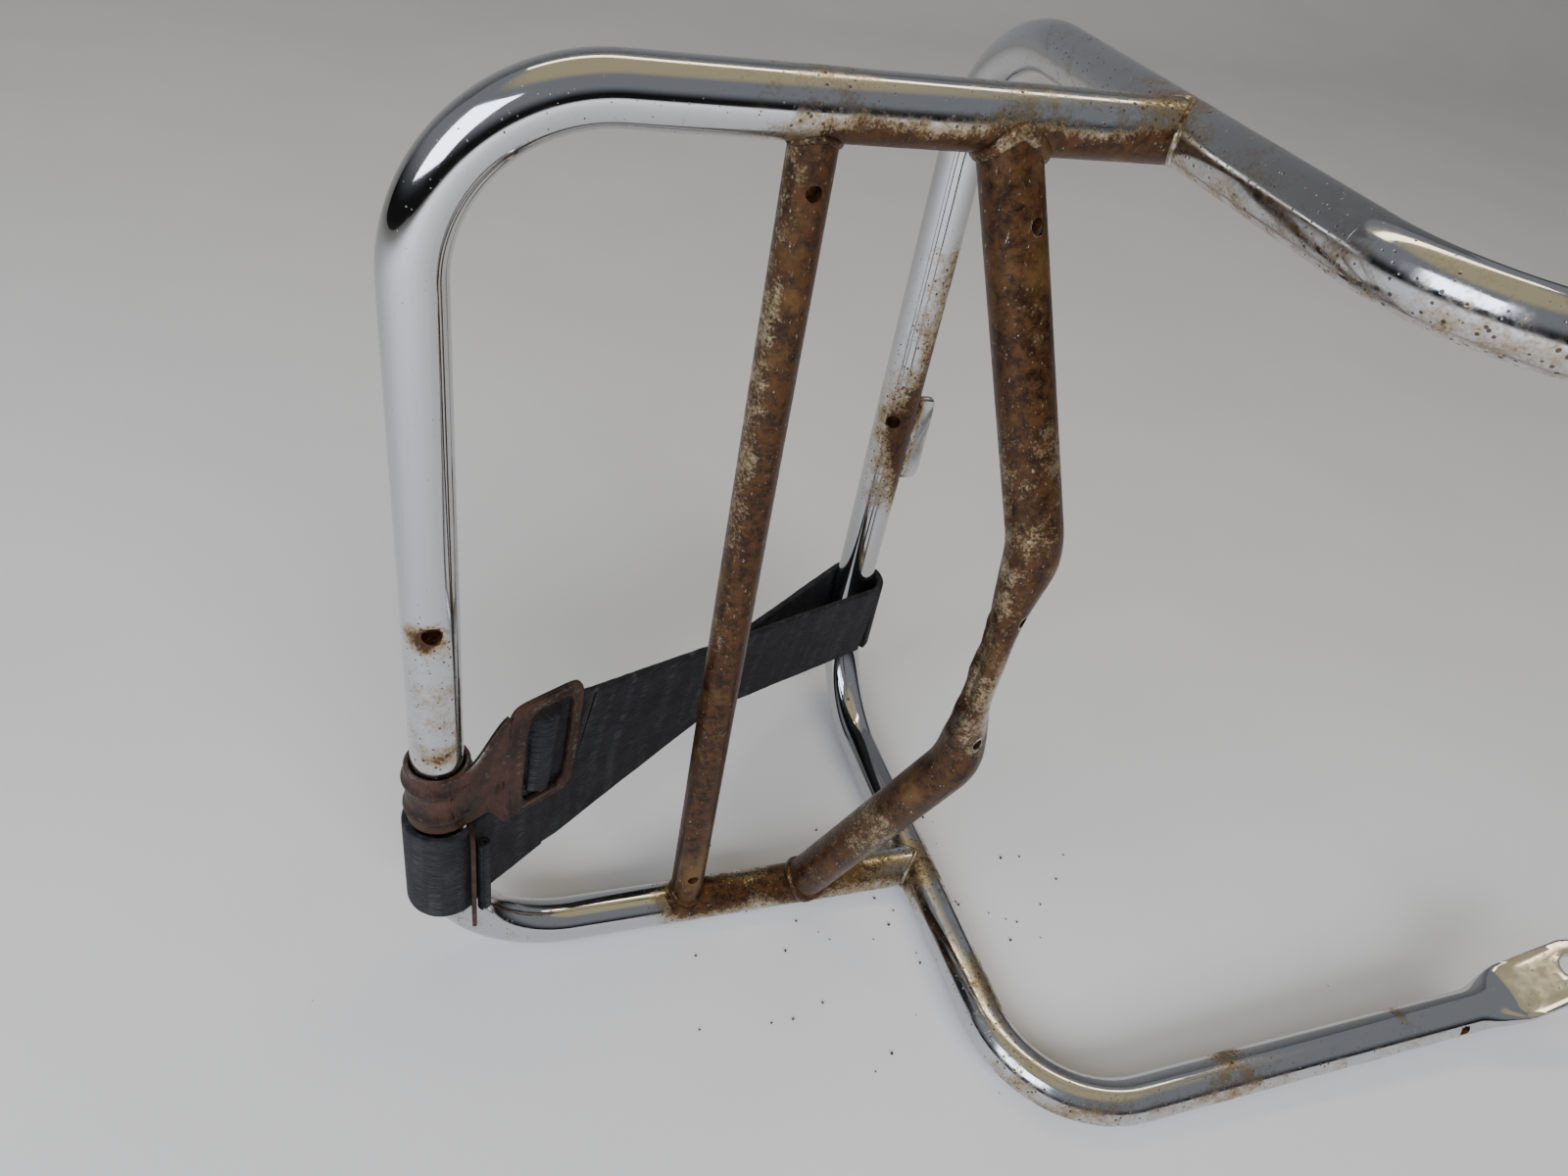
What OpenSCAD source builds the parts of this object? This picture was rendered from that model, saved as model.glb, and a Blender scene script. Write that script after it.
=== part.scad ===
// Tubular luggage rack with a rubber luggage strap, standing on its side.
// X runs along the platform's side tubes towards the mounting lugs, Y runs up
// towards the hoop's top as the rack is used, and Z runs across the rack.
// The origin is on the floor under the middle of the rack. Units: mm.

/* [Main tube] */
// Outside diameter of the bent steel tube
tube_d = 16; // [14:0.5:22]
// Wall thickness of the tube
tube_wall = 1.5; // [1:0.1:2.5]

/* [Platform loop] */
// Width of the rack between the side tubes' centrelines
rack_w = 296; // [220:1:360]
// Length of the side tubes, from the hoop's legs to the outer rail's centreline
platform_l = 185; // [140:1:260]
// Bend radius of the platform loop's two corners
loop_bend_r = 44; // [30:1:70]
// Diameter of the hole near the middle of the outer rail
rail_hole_d = 5.5; // [3:0.5:8]
// Height of that hole above the lower side tube's centreline
rail_hole_z = 153; // [100:1:200]

/* [Hoop and legs] */
// Height of the backbone above the platform, centre to centre
hoop_rise = 110; // [60:1:160]
// Bend radius of the hoop's two top corners
hoop_bend_r = 45; // [30:1:60]
// Drop from the platform to the lower legs, centre to centre
leg_drop = 111; // [60:1:160]
// Bend radius where each leg turns towards its lug
leg_bend_r = 42; // [30:1:60]
// Distance along each lower leg from the hoop to the flattened lug's fold
fold_x = 212; // [160:1:300]
// Angle each lower leg closes in towards the other
toe_a = 2; // [0:0.5:5]

/* [Mounting lugs] */
// Thickness of the flattened tube end
lug_t = 3.2; // [2.5:0.1:5]
// Width of the flattened tube end
lug_w = 23.5; // [20:0.5:30]
// Distance from the fold to the bolt hole
lug_hole_x = 30; // [20:1:45]
// Diameter of the bolt hole
lug_hole_d = 10.5; // [6:0.5:13]
// Angle of the lug from the leg's line
lug_a = 17; // [0:1:35]

/* [Cross tubes] */
// Distance from the hoop to the straight slat
slat_x = 97; // [70:1:130]
// Outside diameter of the slat
slat_d = 12; // [10:0.5:16]
// Distance from the hoop to the ends of the bowed stay
stay_x = 50; // [30:1:64]
// Outside diameter of the bowed stay
stay_d = 16; // [12:0.5:16]
// How far the stay bows out of the side tubes' plane, along its own plane
stay_bow = 42; // [20:1:60]
// Angle of the bow's plane below the platform
stay_plane_a = 51.8; // [0:0.1:90]
// Half the length between the stay's two elbows
stay_mid_h = 44; // [30:1:70]
// Bend radius of the stay's elbows
stay_bend_r = 35; // [20:1:50]
// Thickness of the stay's flattened middle
saddle_t = 9; // [6:0.5:14]
// Diameter of the vent holes near the tubes' ends
vent_d = 4; // [2:0.5:6]

/* [Rubber strap] */
// Width of the strap
strap_w = 35; // [20:1:40]
// Thickness of the strap
strap_t = 3; // [2:0.5:5]
// Height of the strap's lower edge above the lower side tube's centreline
strap_z = 29.5; // [24:0.5:60]
// Rise of the front strand from the backbone to the clip
strap_rise = 33; // [0:1:45]

/* [Strap clip] */
// Thickness of the clip's sheet steel
sheet_t = 1.6; // [1:0.1:2.5]
// Height of the clip's ring on the rail
ring_h = 25; // [15:1:35]
// Height of the clip's window frame
frame_h = 50; // [40:1:60]
// Length of the clip's window frame
frame_l = 30; // [24:1:40]
// Slant of the window frame
frame_tilt = 5; // [0:1:12]

/* [Hidden] */
$fn = 64;
tr = tube_d/2;                      // tube radius
br = tube_d/2 - tube_wall;          // bore radius
cope_r = tr + 0.05;                 // radius of the saddle cuts
drawn = 0.03;                       // how much thinner a tube is drawn through a tight bend
sr = slat_d/2;
yr = stay_d/2;
mid_z = rack_w/2;
clear = 0.4;                        // clearance of the strap and clip round the tubes
strap_in = tr + clear;              // inner radius of the strap's turns
strap_out = strap_in + strap_t;     // outer radius of the strap's turns
rail_slack = 2.6;                   // the turn's stretch over the rail's bend
hoop_slack = 2.9;                   // the turn's stretch over the hoop's bend
strap_a = atan2(hoop_rise, platform_l);
span = sqrt(hoop_rise*hoop_rise + platform_l*platform_l);
strand_x = 50.5;                    // where the front strand leaves the clip's reach
front_in = strap_in - 0.2 - strap_t;    // inner face of the front strand at the clip
front_a = atan2(strap_in + hoop_slack*cos(strap_a) - front_in, span - strand_x);
front_l = (span - 0.3 - strand_x)/cos(front_a);
strand_t = strap_t - 0.4;           // thickness of the straight strands, drawn thinner by the pull
rear_x = 11;                        // where the rear strand leaves the turn round the rail
rear_y = -5.5;
rear_a = atan2(strap_in + strap_t/2 - rear_y, span - rear_x);
rear_l = (span + 0.4 - rear_x)/cos(rear_a);
ring_z = strap_z + 41;              // lower edge of the clip's ring
frame_x = 33;                       // middle of the window frame from the rail's axis
frame_z = 84;                       // middle of the window frame
arm_a = atan2(stay_bow, mid_z - stay_mid_h);
arm_l = sqrt(pow(stay_bow, 2) + pow(mid_z - stay_mid_h, 2));
elbow_t = stay_bend_r*tan(arm_a/2);
tab_z0 = 117;                       // lower edge of the backbone's tab
tab_h = 38;
lug_end = lug_hole_x + lug_w/2;
x_lo = -platform_l - strap_out;
x_hi = (fold_x - 1 + lug_end*cos(lug_a))*cos(toe_a) - (4.3 + lug_end*sin(lug_a))*sin(toe_a);
y_lo = -leg_drop - lug_w/2;
y_hi = hoop_rise + strap_out;
mid_x = (x_lo + x_hi)/2;
mid_y = (y_lo + y_hi)/2;

steel_chrome = [0.80, 0.80, 0.80];
steel_rust = [0.36, 0.24, 0.16];
steel_weld = [0.50, 0.44, 0.38];
rubber_black = [0.06, 0.06, 0.065];

// moves the rack's own frame, with the lower joint at zero, onto the floor
module placed() translate([-mid_x, -mid_y, tr]) children();

// the same shape on the rack's other side
module mirrored_side() translate([0, 0, rack_w]) mirror([0, 0, 1]) children();

// a bent length of round rod in the XY plane, from +X round to angle a
module bend(rad, r, a = 90)
    rotate_extrude(angle = a) translate([rad, 0]) circle(r);

module rod_x(x0, x1, r) translate([x0, 0, 0]) rotate([0, 90, 0]) cylinder(h = x1 - x0, r = r);

// axes of a lower leg, with its origin at the corner under the hoop
module leg_axes() translate([0, -leg_drop, 0]) rotate([0, -toe_a, 0]) children();

// one side of the platform loop, from the rail's bend to x = x1
module loop_side(r, x1 = 0) {
    rod_x(loop_bend_r - platform_l, x1, r);
    translate([loop_bend_r - platform_l, 0, loop_bend_r])
        rotate([90, 0, 0]) rotate([0, 0, 180]) bend(loop_bend_r, r);
}

module loop_run(r) {
    loop_side(r);
    mirrored_side() loop_side(r);
    translate([-platform_l, 0, loop_bend_r]) cylinder(h = rack_w - 2*loop_bend_r, r = r);
}

// the straight upright part of a leg
module upright(r)
    translate([0, leg_bend_r - leg_drop, 0]) rotate([-90, 0, 0])
        cylinder(h = leg_drop - leg_bend_r + hoop_rise - hoop_bend_r, r = r);

// one side of the hoop: top corner, upright, lower bend and lower leg to x1
module hoop_side(r, x1) {
    translate([0, hoop_rise - hoop_bend_r, hoop_bend_r])
        rotate([0, 90, 0]) bend(hoop_bend_r, r);
    upright(r);
    leg_axes() {
        translate([leg_bend_r, leg_bend_r, 0]) rotate([0, 0, 180]) bend(leg_bend_r, r - drawn);
        rod_x(leg_bend_r, x1, r - drawn);
    }
}

module hoop_run(r, x1) {
    hoop_side(r, x1);
    mirrored_side() hoop_side(r, x1);
    translate([0, hoop_rise, hoop_bend_r]) cylinder(h = rack_w - 2*hoop_bend_r, r = r);
}

// the flattened, folded end of a lower leg
module lug() leg_axes() {
    hull() {
        rod_x(fold_x - 28, fold_x - 25, tr - 0.1);
        translate([fold_x - 3, -lug_w/2 + 1, 4]) cube([3, lug_w - 2, lug_t]);
    }
    translate([fold_x - 1, 0, 4.3]) rotate([0, -lug_a, 0]) difference() {
        linear_extrude(lug_t) {
            translate([0, -lug_w/2]) square([lug_hole_x, lug_w]);
            translate([lug_hole_x, 0]) circle(lug_w/2);
        }
        translate([lug_hole_x, 0, -1]) cylinder(h = lug_t + 2, d = lug_hole_d);
    }
}

module platform_loop() placed() color(steel_chrome) difference() {
    loop_run(tr);
    loop_run(br);
    upright(cope_r);
    mirrored_side() upright(cope_r);
    translate([-platform_l, 0, rail_hole_z]) rotate([90, 0, 0]) cylinder(h = tube_d, d = rail_hole_d);
}

module hoop_and_legs() placed() color(steel_chrome) {
    difference() {
        hoop_run(tr, fold_x - 25.5);
        hoop_run(br, fold_x - 28.5);
        translate([0, hoop_rise, mid_z]) rotate([0, 0, -30]) rotate([90, 0, 0])
            cylinder(h = tube_d, d = rail_hole_d);
        leg_axes() translate([fold_x - 32, 0, 2]) rotate([90, 0, 0]) cylinder(h = tube_d, d = vent_d);
        mirrored_side() leg_axes() translate([fold_x - 32, 0, 2]) rotate([90, 0, 0])
            cylinder(h = tube_d, d = vent_d);
    }
    lug();
    mirrored_side() lug();
}

module slat_tube() placed() color(steel_rust) translate([-slat_x, 0, 0]) difference() {
    cylinder(h = rack_w, r = sr);
    translate([0, 0, -1]) cylinder(h = rack_w + 2, r = sr - 1.2);
    rod_x(-20, 20, cope_r);
    mirrored_side() rod_x(-20, 20, cope_r);
    for (z = [20, rack_w - 18]) translate([0, 0, z]) rotate([90, 0, 0]) cylinder(h = slat_d, d = vent_d);
}

// axes of the bowed stay: X is the way it bows
module stay_axes() translate([-stay_x, 0, 0]) rotate([0, 0, -stay_plane_a]) children();

// the stay's lower arm and elbow, from t0 along the arm
module stay_half(r, t0) {
    rotate([0, arm_a, 0]) translate([0, 0, t0]) cylinder(h = arm_l - elbow_t - t0, r = r);
    translate([sin(arm_a)*(arm_l - elbow_t) - stay_bend_r*cos(arm_a), 0,
               cos(arm_a)*(arm_l - elbow_t) + stay_bend_r*sin(arm_a)])
        rotate([90, 0, 0]) rotate([0, 0, -arm_a]) bend(stay_bend_r, r - drawn, arm_a);
}

// cross-section of the stay's flattened middle
module saddle_section(t) {
    square([t, stay_d + 5 - saddle_t], center = true);
    for (s = [-1, 1]) translate([0, s*(stay_d + 5 - saddle_t)/2]) circle(t/2);
}

module saddle_taper() hull() {
    translate([stay_bow, 0, mid_z - stay_mid_h + elbow_t - 2]) cylinder(h = 2.5, r = yr - 0.2);
    translate([stay_bow + 1, 0, mid_z - 24]) linear_extrude(1) saddle_section(saddle_t - 0.2);
}

module bowed_stay() placed() color(steel_rust) difference() {
    stay_axes() {
        stay_half(yr, 6);
        mirrored_side() stay_half(yr, 6);
        saddle_taper();
        mirrored_side() saddle_taper();
        translate([stay_bow + 1, 0, mid_z - 24.5]) linear_extrude(49) saddle_section(saddle_t);
    }
    stay_axes() {
        rotate([0, arm_a, 0]) cylinder(h = arm_l - elbow_t - 2, r = yr - tube_wall);
        mirrored_side() rotate([0, arm_a, 0]) cylinder(h = arm_l - elbow_t - 2, r = yr - tube_wall);
    }
    translate([-stay_x, 0, 0]) rod_x(-30, 30, cope_r);
    mirrored_side() translate([-stay_x, 0, 0]) rod_x(-30, 30, cope_r);
    for (z = [22, rack_w - 20]) stay_axes() translate([7.5, 0, z])
        rotate([0, 90, stay_plane_a - 90]) cylinder(h = stay_d, d = vent_d);
}

module backbone_tab() placed() color(steel_chrome) difference() {
    translate([0, hoop_rise + 1.5, tab_z0]) rotate([90, 0, 0]) linear_extrude(3) {
        square([16 - 5, tab_h]);
        translate([0, 5]) square([16, tab_h - 10]);
        for (z = [5, tab_h - 5]) translate([11, z]) circle(5);
    }
    translate([0, hoop_rise, tab_z0 - 5]) cylinder(h = tab_h + 10, r = cope_r);
}

// a weld fillet round the end of a side tube, where it meets an upright
module weld_loop() color(steel_weld) difference() {
    intersection() {
        rod_x(-14, 0, tr + 2.4);
        upright(tr + 2.4);
        translate([-14, -14, -tr + 0.6]) cube([14, 28, tube_d - 1.2]);
    }
    rod_x(-20, 1, tr + 0.02);
    upright(tr + 0.02);
}
module weld_loop_lower() placed() weld_loop();
module weld_loop_upper() placed() mirrored_side() weld_loop();

// a weld collar round the end of the slat
module weld_slat() color(steel_weld) translate([-slat_x, 0, 0]) difference() {
    intersection() {
        cylinder(h = 20, r = sr + 2);
        rod_x(-20, 20, tr + 2);
        translate([-20, -20, 2]) cube(40);
    }
    cylinder(h = 30, r = sr + 0.02);
    rod_x(-21, 21, cope_r);
}
module weld_slat_lower() placed() weld_slat();
module weld_slat_upper() placed() mirrored_side() weld_slat();

// a weld collar round the end of the stay
module weld_stay() color(steel_weld) difference() {
    intersection() {
        stay_axes() rotate([0, arm_a, 0]) translate([0, 0, 3]) cylinder(h = 25, r = yr + 2.4);
        translate([-stay_x, 0, 0]) rod_x(-25, 25, tr + 2.4);
    }
    stay_axes() rotate([0, arm_a, 0]) cylinder(h = 40, r = yr + 0.02);
    translate([-stay_x, 0, 0]) rod_x(-30, 30, cope_r);
}
module weld_stay_lower() placed() weld_stay();
module weld_stay_upper() placed() mirrored_side() weld_stay();

module weld_tab() placed() color(steel_weld) difference() {
    for (s = [-1, 1]) translate([tr + 0.6, hoop_rise + s*2.6, tab_z0 + 3]) {
        cylinder(h = tab_h - 6, r = 1.6);
        sphere(1.6);
        translate([0, 0, tab_h - 6]) sphere(1.6);
    }
    translate([0, hoop_rise, tab_z0 - 5]) cylinder(h = tab_h + 10, r = cope_r);
    translate([0, hoop_rise - 1.52, tab_z0 - 5]) cube([20, 3.04, tab_h + 10]);
}

// outline of a strap turn, stretched by slack
module turn_outline(r, slack) {
    circle(r);
    translate([slack, 0]) circle(r);
    translate([0, -r]) square([slack, 2*r]);
}

// axes along the strap: X from the rail to the backbone, -Y on the front strand's side
module strap_axes() translate([-platform_l, 0, 0]) rotate([0, 0, strap_a]) children();

module rubber_strap() placed() color(rubber_black) {
    // the turn round the outer rail, with its folded end
    translate([-platform_l, 0, strap_z]) linear_extrude(strap_w) difference() {
        union() {
            turn_outline(strap_out, rail_slack);
            translate([12.9, -9.4]) circle(3);
        }
        turn_outline(strap_in, rail_slack);
    }
    // the rear strand
    strap_axes() translate([rear_x, rear_y, strap_z + 0.2]) rotate([0, 0, rear_a])
        translate([0, -strand_t/2, 0]) cube([rear_l, strand_t, strap_w - 0.4]);
    // the turn round the backbone, open between the strands
    translate([0, hoop_rise, strap_z]) linear_extrude(strap_w) difference() {
        rotate(-90) turn_outline(strap_out, hoop_slack);
        rotate(-90) turn_outline(strap_in, hoop_slack);
        rotate(strap_a) translate([-41, -20]) square([40, 40]);
    }
    // the front strand, climbing to the clip
    strap_axes() translate([strand_x, -front_in - 0.2, strap_z]) rotate([90, 0, -front_a])
        linear_extrude(strand_t) polygon([[0, strap_rise], [front_l, 0.2], [front_l, strap_w - 0.2],
                                         [0, strap_w + strap_rise]]);
}

// a hairpin of sheet steel that keeps the strap's turn closed on the rail
module strap_keeper() placed() color(steel_rust)
    translate([-platform_l + tr + 0.4, 0, 0]) rotate([90, 0, 90]) linear_extrude(1.4) difference() {
        union() {
            translate([-14.6, strap_z - 1.5]) square([29.2, 39]);
            translate([-11.6, strap_z + 37.5]) square([23.2, 3]);
            for (s = [-1, 1]) {
                translate([s*11.6, strap_z + 37.5]) circle(3);
                translate([s*12.4, strap_z - 1.5]) circle(2.2);
                translate([s*12.4 - 1.1, strap_z - 5.5]) square([2.2, 4]);
            }
        }
        translate([-10.2, strap_z - 8]) square([20.4, strap_w + 8.4]);
    }

// outline of the clip's neck and window frame, along the strap and up
module clip_outline() {
    polygon([[0, ring_z], [0, ring_z + ring_h - 1], [10, ring_z + ring_h + 1.5],
             [frame_x - frame_l/2 + 3, frame_z + frame_h/2 - 2], [frame_x, frame_z],
             [frame_x - frame_l/2 + 3, frame_z - frame_h/2 + 3], [frame_x - frame_l/2 - 1, ring_z]]);
    translate([frame_x, frame_z]) rotate(-frame_tilt) {
        square([frame_l - 8, frame_h], center = true);
        square([frame_l, frame_h - 8], center = true);
        for (x = [-1, 1], z = [-1, 1])
            translate([x*(frame_l/2 - 4), z*(frame_h/2 - 4)]) circle(4);
    }
}

module strap_clip() placed() color(steel_rust) strap_axes() difference() {
    union() {
        translate([0, -strap_in, 0]) rotate([90, 0, 0]) linear_extrude(sheet_t) clip_outline();
        translate([0, 0, ring_z]) cylinder(h = ring_h, r = strap_in + sheet_t);
        for (z = [6.5, ring_h - 6.5]) translate([0, 0, ring_z + z])
            rotate_extrude() translate([strap_in + sheet_t - 0.6, 0]) circle(1.7);
    }
    translate([0, 0, -1]) cylinder(h = rack_w, r = strap_in);
    translate([frame_x + 2.2, 0, frame_z]) rotate([0, frame_tilt, 0])
        translate([-9, -20, -20.5]) cube([18, 20, 41]);
}

// the strap's thickened end, held in the clip's window
module strap_eye() placed() color(rubber_black) strap_axes() {
    translate([frame_x + 2.2, -6, frame_z - 0.5]) rotate([0, frame_tilt, 0])
        translate([0, 0, -17]) cylinder(h = 34, r = 6);
    translate([frame_x + 3, -front_in - strap_t, frame_z - 17]) cube([13.2, strap_t, 31]);
}

platform_loop();
hoop_and_legs();
slat_tube();
bowed_stay();
backbone_tab();
weld_loop_lower();
weld_loop_upper();
weld_slat_lower();
weld_slat_upper();
weld_stay_lower();
weld_stay_upper();
weld_tab();
rubber_strap();
strap_keeper();
strap_clip();
strap_eye();
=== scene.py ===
"""Looks of a tubular luggage rack with a rubber strap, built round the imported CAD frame."""
import math

import bmesh
import bpy
import numpy as np
from mathutils import Euler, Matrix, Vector
from mathutils.kdtree import KDTree


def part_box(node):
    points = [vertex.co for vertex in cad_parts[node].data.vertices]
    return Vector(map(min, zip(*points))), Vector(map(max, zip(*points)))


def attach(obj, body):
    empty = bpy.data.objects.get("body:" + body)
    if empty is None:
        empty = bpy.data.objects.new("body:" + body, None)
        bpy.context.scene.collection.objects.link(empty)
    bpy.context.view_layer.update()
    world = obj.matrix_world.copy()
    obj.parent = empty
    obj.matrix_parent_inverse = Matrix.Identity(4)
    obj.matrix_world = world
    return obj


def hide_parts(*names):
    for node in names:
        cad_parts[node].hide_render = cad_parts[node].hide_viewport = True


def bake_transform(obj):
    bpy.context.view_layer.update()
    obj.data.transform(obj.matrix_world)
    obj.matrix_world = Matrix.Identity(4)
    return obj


bl_info = {
    "name": "Tubular luggage rack",
    "version": (1, 0, 0),
    "blender": (4, 5, 0),
    "location": "View3D > Sidebar > Rack",
    "description": "Builds a chrome luggage rack with a rubber strap and steel clip",
    "category": "Object",
}

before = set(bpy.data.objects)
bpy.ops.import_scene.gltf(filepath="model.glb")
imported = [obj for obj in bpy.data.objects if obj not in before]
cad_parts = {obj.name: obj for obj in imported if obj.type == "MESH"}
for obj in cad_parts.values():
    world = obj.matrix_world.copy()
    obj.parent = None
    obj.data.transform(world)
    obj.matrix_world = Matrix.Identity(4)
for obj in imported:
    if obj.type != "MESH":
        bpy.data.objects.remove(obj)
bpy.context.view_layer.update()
MM = 0.001
# the rack's own frame has its zero where the lower side tube's axis meets the hoop's upright
ORIGIN = np.array(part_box("platform_loop")[0]) + np.array([0.193, 0.008, 0.008])

TUBE_R = 8.0          # main tube's radius
RACK_W = 296.0        # between the side tubes' axes
PLATFORM_L = 185.0    # hoop to outer rail
LOOP_BEND = 44.0      # radius of the platform loop's corners
HOOP_RISE = 110.0     # platform to backbone
HOOP_BEND = 45.0      # radius of the hoop's top corners
LEG_DROP = 111.0      # platform to lower legs
LEG_BEND = 42.0       # radius of the legs' bends
FOLD_X = 211.0        # where the flattened lug folds
TAPER = 20.0          # length over which a leg is squeezed flat before the fold
LUG_A = math.radians(17)   # how far the lug is folded up from the leg
TOE_A = math.radians(2)    # how far each leg turns in towards the other
LUG_THICK = 3.2
LUG_HALF_W = 11.75    # half the lug's width
LUG_HOLE_X = 30.0     # fold to bolt hole
LUG_HOLE_R = 5.25
SLAT_X = -97.0        # the slat's place on the side tubes
SLAT_R = 6.0
STAY_X = -50.0        # the stay's place on the side tubes
STAY_BOW = 42.0       # how far the stay bows out of the side tubes' plane
STAY_MID = 44.0       # half the length between its elbows
STAY_BEND = 35.0      # radius of the stay's elbows
STAY_PLANE = math.radians(-51.8)  # the bow's angle from the side tubes' plane
MIDDLE_Z = RACK_W / 2
RAIL_HOLE_Z = 153.0
BOLT_HOLE = (2.75, 5.0)   # radius and depth of the rail's and the backbone's holes
VENT_HOLE = (2.0, 4.0)    # radius and depth of the tubes' vent holes
CRUSH_HOLE = (1.9, 3.0)   # radius and depth of the holes by the stay's crush
STRAP_A = math.atan2(HOOP_RISE, PLATFORM_L)
STRAP_SPAN = math.hypot(HOOP_RISE, PLATFORM_L)
STRAP_Z = 47.0        # middle of the strap's width
RING_Z = 70.5         # lower edge of the clip's ring
SHEET = 1.6           # thickness of the clip's sheet steel
RING_R = 8.4          # inside of the clip's ring
WINDOW = (35.2, 84.0)  # middle of the clip's window, along the strap and up
TILT = math.radians(5)  # lean of the clip's window


def srgb(code):
    """A hex colour as linear RGBA."""
    parts = [int(code[i:i + 2], 16) / 255 for i in (1, 3, 5)]
    return tuple(c / 12.92 if c <= 0.04045 else ((c + 0.055) / 1.055) ** 2.4 for c in parts) + (1.0,)


def colour_property(label, description, code):
    """A colour for the panel."""
    return bpy.props.FloatVectorProperty(name=label, description=description, default=srgb(code), size=4,
                                         min=0.0, max=1.0, subtype="COLOR")


class RackSettings(bpy.types.PropertyGroup):
    """The sizes, colours and wear that a user would change."""
    rust: bpy.props.FloatProperty(name="Rust", description="How far the rust has spread", default=1.0,
                                  min=0.0, max=2.0, subtype="FACTOR")
    strap_width: bpy.props.FloatProperty(name="Strap width", description="Width of the rubber strap",
                                         default=0.0348, min=0.02, max=0.036, unit="LENGTH")
    weld_size: bpy.props.FloatProperty(name="Weld size", description="Size of the weld beads", default=1.0,
                                       min=0.5, max=1.5, subtype="FACTOR")
    ring_step: bpy.props.FloatProperty(name="Ring step", description="Distance between rings along the tubes",
                                       default=0.0016, min=0.0005, max=0.01, unit="LENGTH")
    around: bpy.props.IntProperty(name="Points around", description="Points round each tube", default=96,
                                  min=24, max=192)
    plate_colour: colour_property("Plate", "Colour of the chrome plate", "#c6c7c9")
    rust_colour: colour_property("Rust colour", "Main colour of the rust on the tubes", "#50341b")
    sheet_colour: colour_property("Clip", "Main colour of the clip's rusty sheet", "#422a1f")
    rubber_colour: colour_property("Rubber", "Colour of the strap's rubber", "#0e0e10")
    floor_colour: colour_property("Floor", "Colour of the studio sweep", "#cccccd")


def chosen():
    """The panel's settings."""
    return bpy.context.scene.rack_settings


# ---------------------------------------------------------------- curves and surfaces

def unit(v):
    """Vectors divided by their own lengths."""
    v = np.asarray(v, float)
    return v / np.maximum(np.linalg.norm(v, axis=-1, keepdims=True), 1e-12)


def line(a, b, step):
    """Points from a to b, evenly spaced, without b itself."""
    a, b = np.asarray(a, float), np.asarray(b, float)
    n = max(2, int(round(np.linalg.norm(b - a) / step)))
    return a + (b - a) * (np.arange(n) / n)[:, None]


def arc(centre, x_dir, y_dir, radius, a0, a1, step):
    """Points on centre + radius (cos a x_dir + sin a y_dir) for a from a0 to a1, without the last."""
    n = max(4, int(round(abs(a1 - a0) * radius / step)))
    a = a0 + (a1 - a0) * (np.arange(n) / n)
    return (np.asarray(centre, float) + radius * (np.cos(a)[:, None] * np.asarray(x_dir, float)
                                                  + np.sin(a)[:, None] * np.asarray(y_dir, float)))


def smoothstep(x, lo, hi):
    """0 below lo, 1 above hi, and 3t^2 - 2t^3 between them."""
    t = np.clip((np.asarray(x, float) - lo) / (hi - lo), 0, 1)
    return t * t * (3 - 2 * t)


def carried(path, up, section, wrap=False):
    """A section carried along a path: ring k is path[k] + a n[k] + b w[k] for each (a, b) of section[k],
    where w is the part of up square to the path and n is the tangent crossed with it."""
    path = np.asarray(path, float)
    tangent = unit(np.roll(path, -1, 0) - np.roll(path, 1, 0)) if wrap else unit(np.gradient(path, axis=0))
    up = np.broadcast_to(np.asarray(up, float), path.shape)
    w = unit(up - (up * tangent).sum(1)[:, None] * tangent)
    n = np.cross(tangent, w)
    section = np.broadcast_to(section, (len(path),) + np.shape(section)[-2:])
    return (path[:, None] + section[..., :1] * n[:, None] + section[..., 1:] * w[:, None])


def circle(radius, count):
    """Points round a circle in a section's own plane."""
    a = np.arange(count) * 2 * math.pi / count
    return radius * np.stack([np.cos(a), np.sin(a)], -1)


def superellipse(half_a, half_b, power, count):
    """Points with |a/half_a|^power + |b/half_b|^power = 1, evenly turned about the middle."""
    t = np.arange(count) * 2 * math.pi / count
    c, s = np.cos(t), np.sin(t)
    p = 2.0 / np.asarray(power, float)[..., None]
    return np.stack([np.asarray(half_a, float)[..., None] * np.sign(c) * np.abs(c) ** p,
                     np.asarray(half_b, float)[..., None] * np.sign(s) * np.abs(s) ** p], -1)


def slab_section(half_w, half_t, rim, count=40):
    """A flat bar's outline with round corners: corner arcs of radius rim joined by straight sides."""
    half_w, half_t, rim = (np.asarray(v, float)[..., None] for v in (half_w, half_t, rim))
    k = count // 4
    a = np.linspace(0, math.pi / 2, k)
    quarter = []
    for q in range(4):
        sx, sy = ((1, 1), (-1, 1), (-1, -1), (1, -1))[q]
        turn = a + q * math.pi / 2
        quarter.append(np.stack([sx * (half_t - rim) + rim * np.cos(turn),
                                 sy * (half_w - rim) + rim * np.sin(turn)], -1))
    return np.concatenate(quarter, -2)


def quads(rows, cols, wrap_rows=False, wrap_cols=True, base=0):
    """Corner numbers of the quads of a grid of rows by cols points."""
    i = np.arange(rows if wrap_rows else rows - 1)[:, None]
    j = np.arange(cols if wrap_cols else cols - 1)[None, :]
    i1, j1 = (i + 1) % rows, (j + 1) % cols
    return base + np.stack([i * cols + j, i * cols + j1, i1 * cols + j1, i1 * cols + j], -1).reshape(-1, 4)


def capped(rings, steps=3):
    """Rings with their ends drawn in to the middle, so the ends close."""
    first, last = rings[0].mean(0), rings[-1].mean(0)
    f = np.linspace(0.0, 1.0, steps + 1)[:-1]
    head = [first + (rings[0] - first) * k for k in f]
    tail = [last + (rings[-1] - last) * k for k in f[::-1]]
    return np.concatenate([head, rings, tail])


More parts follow.
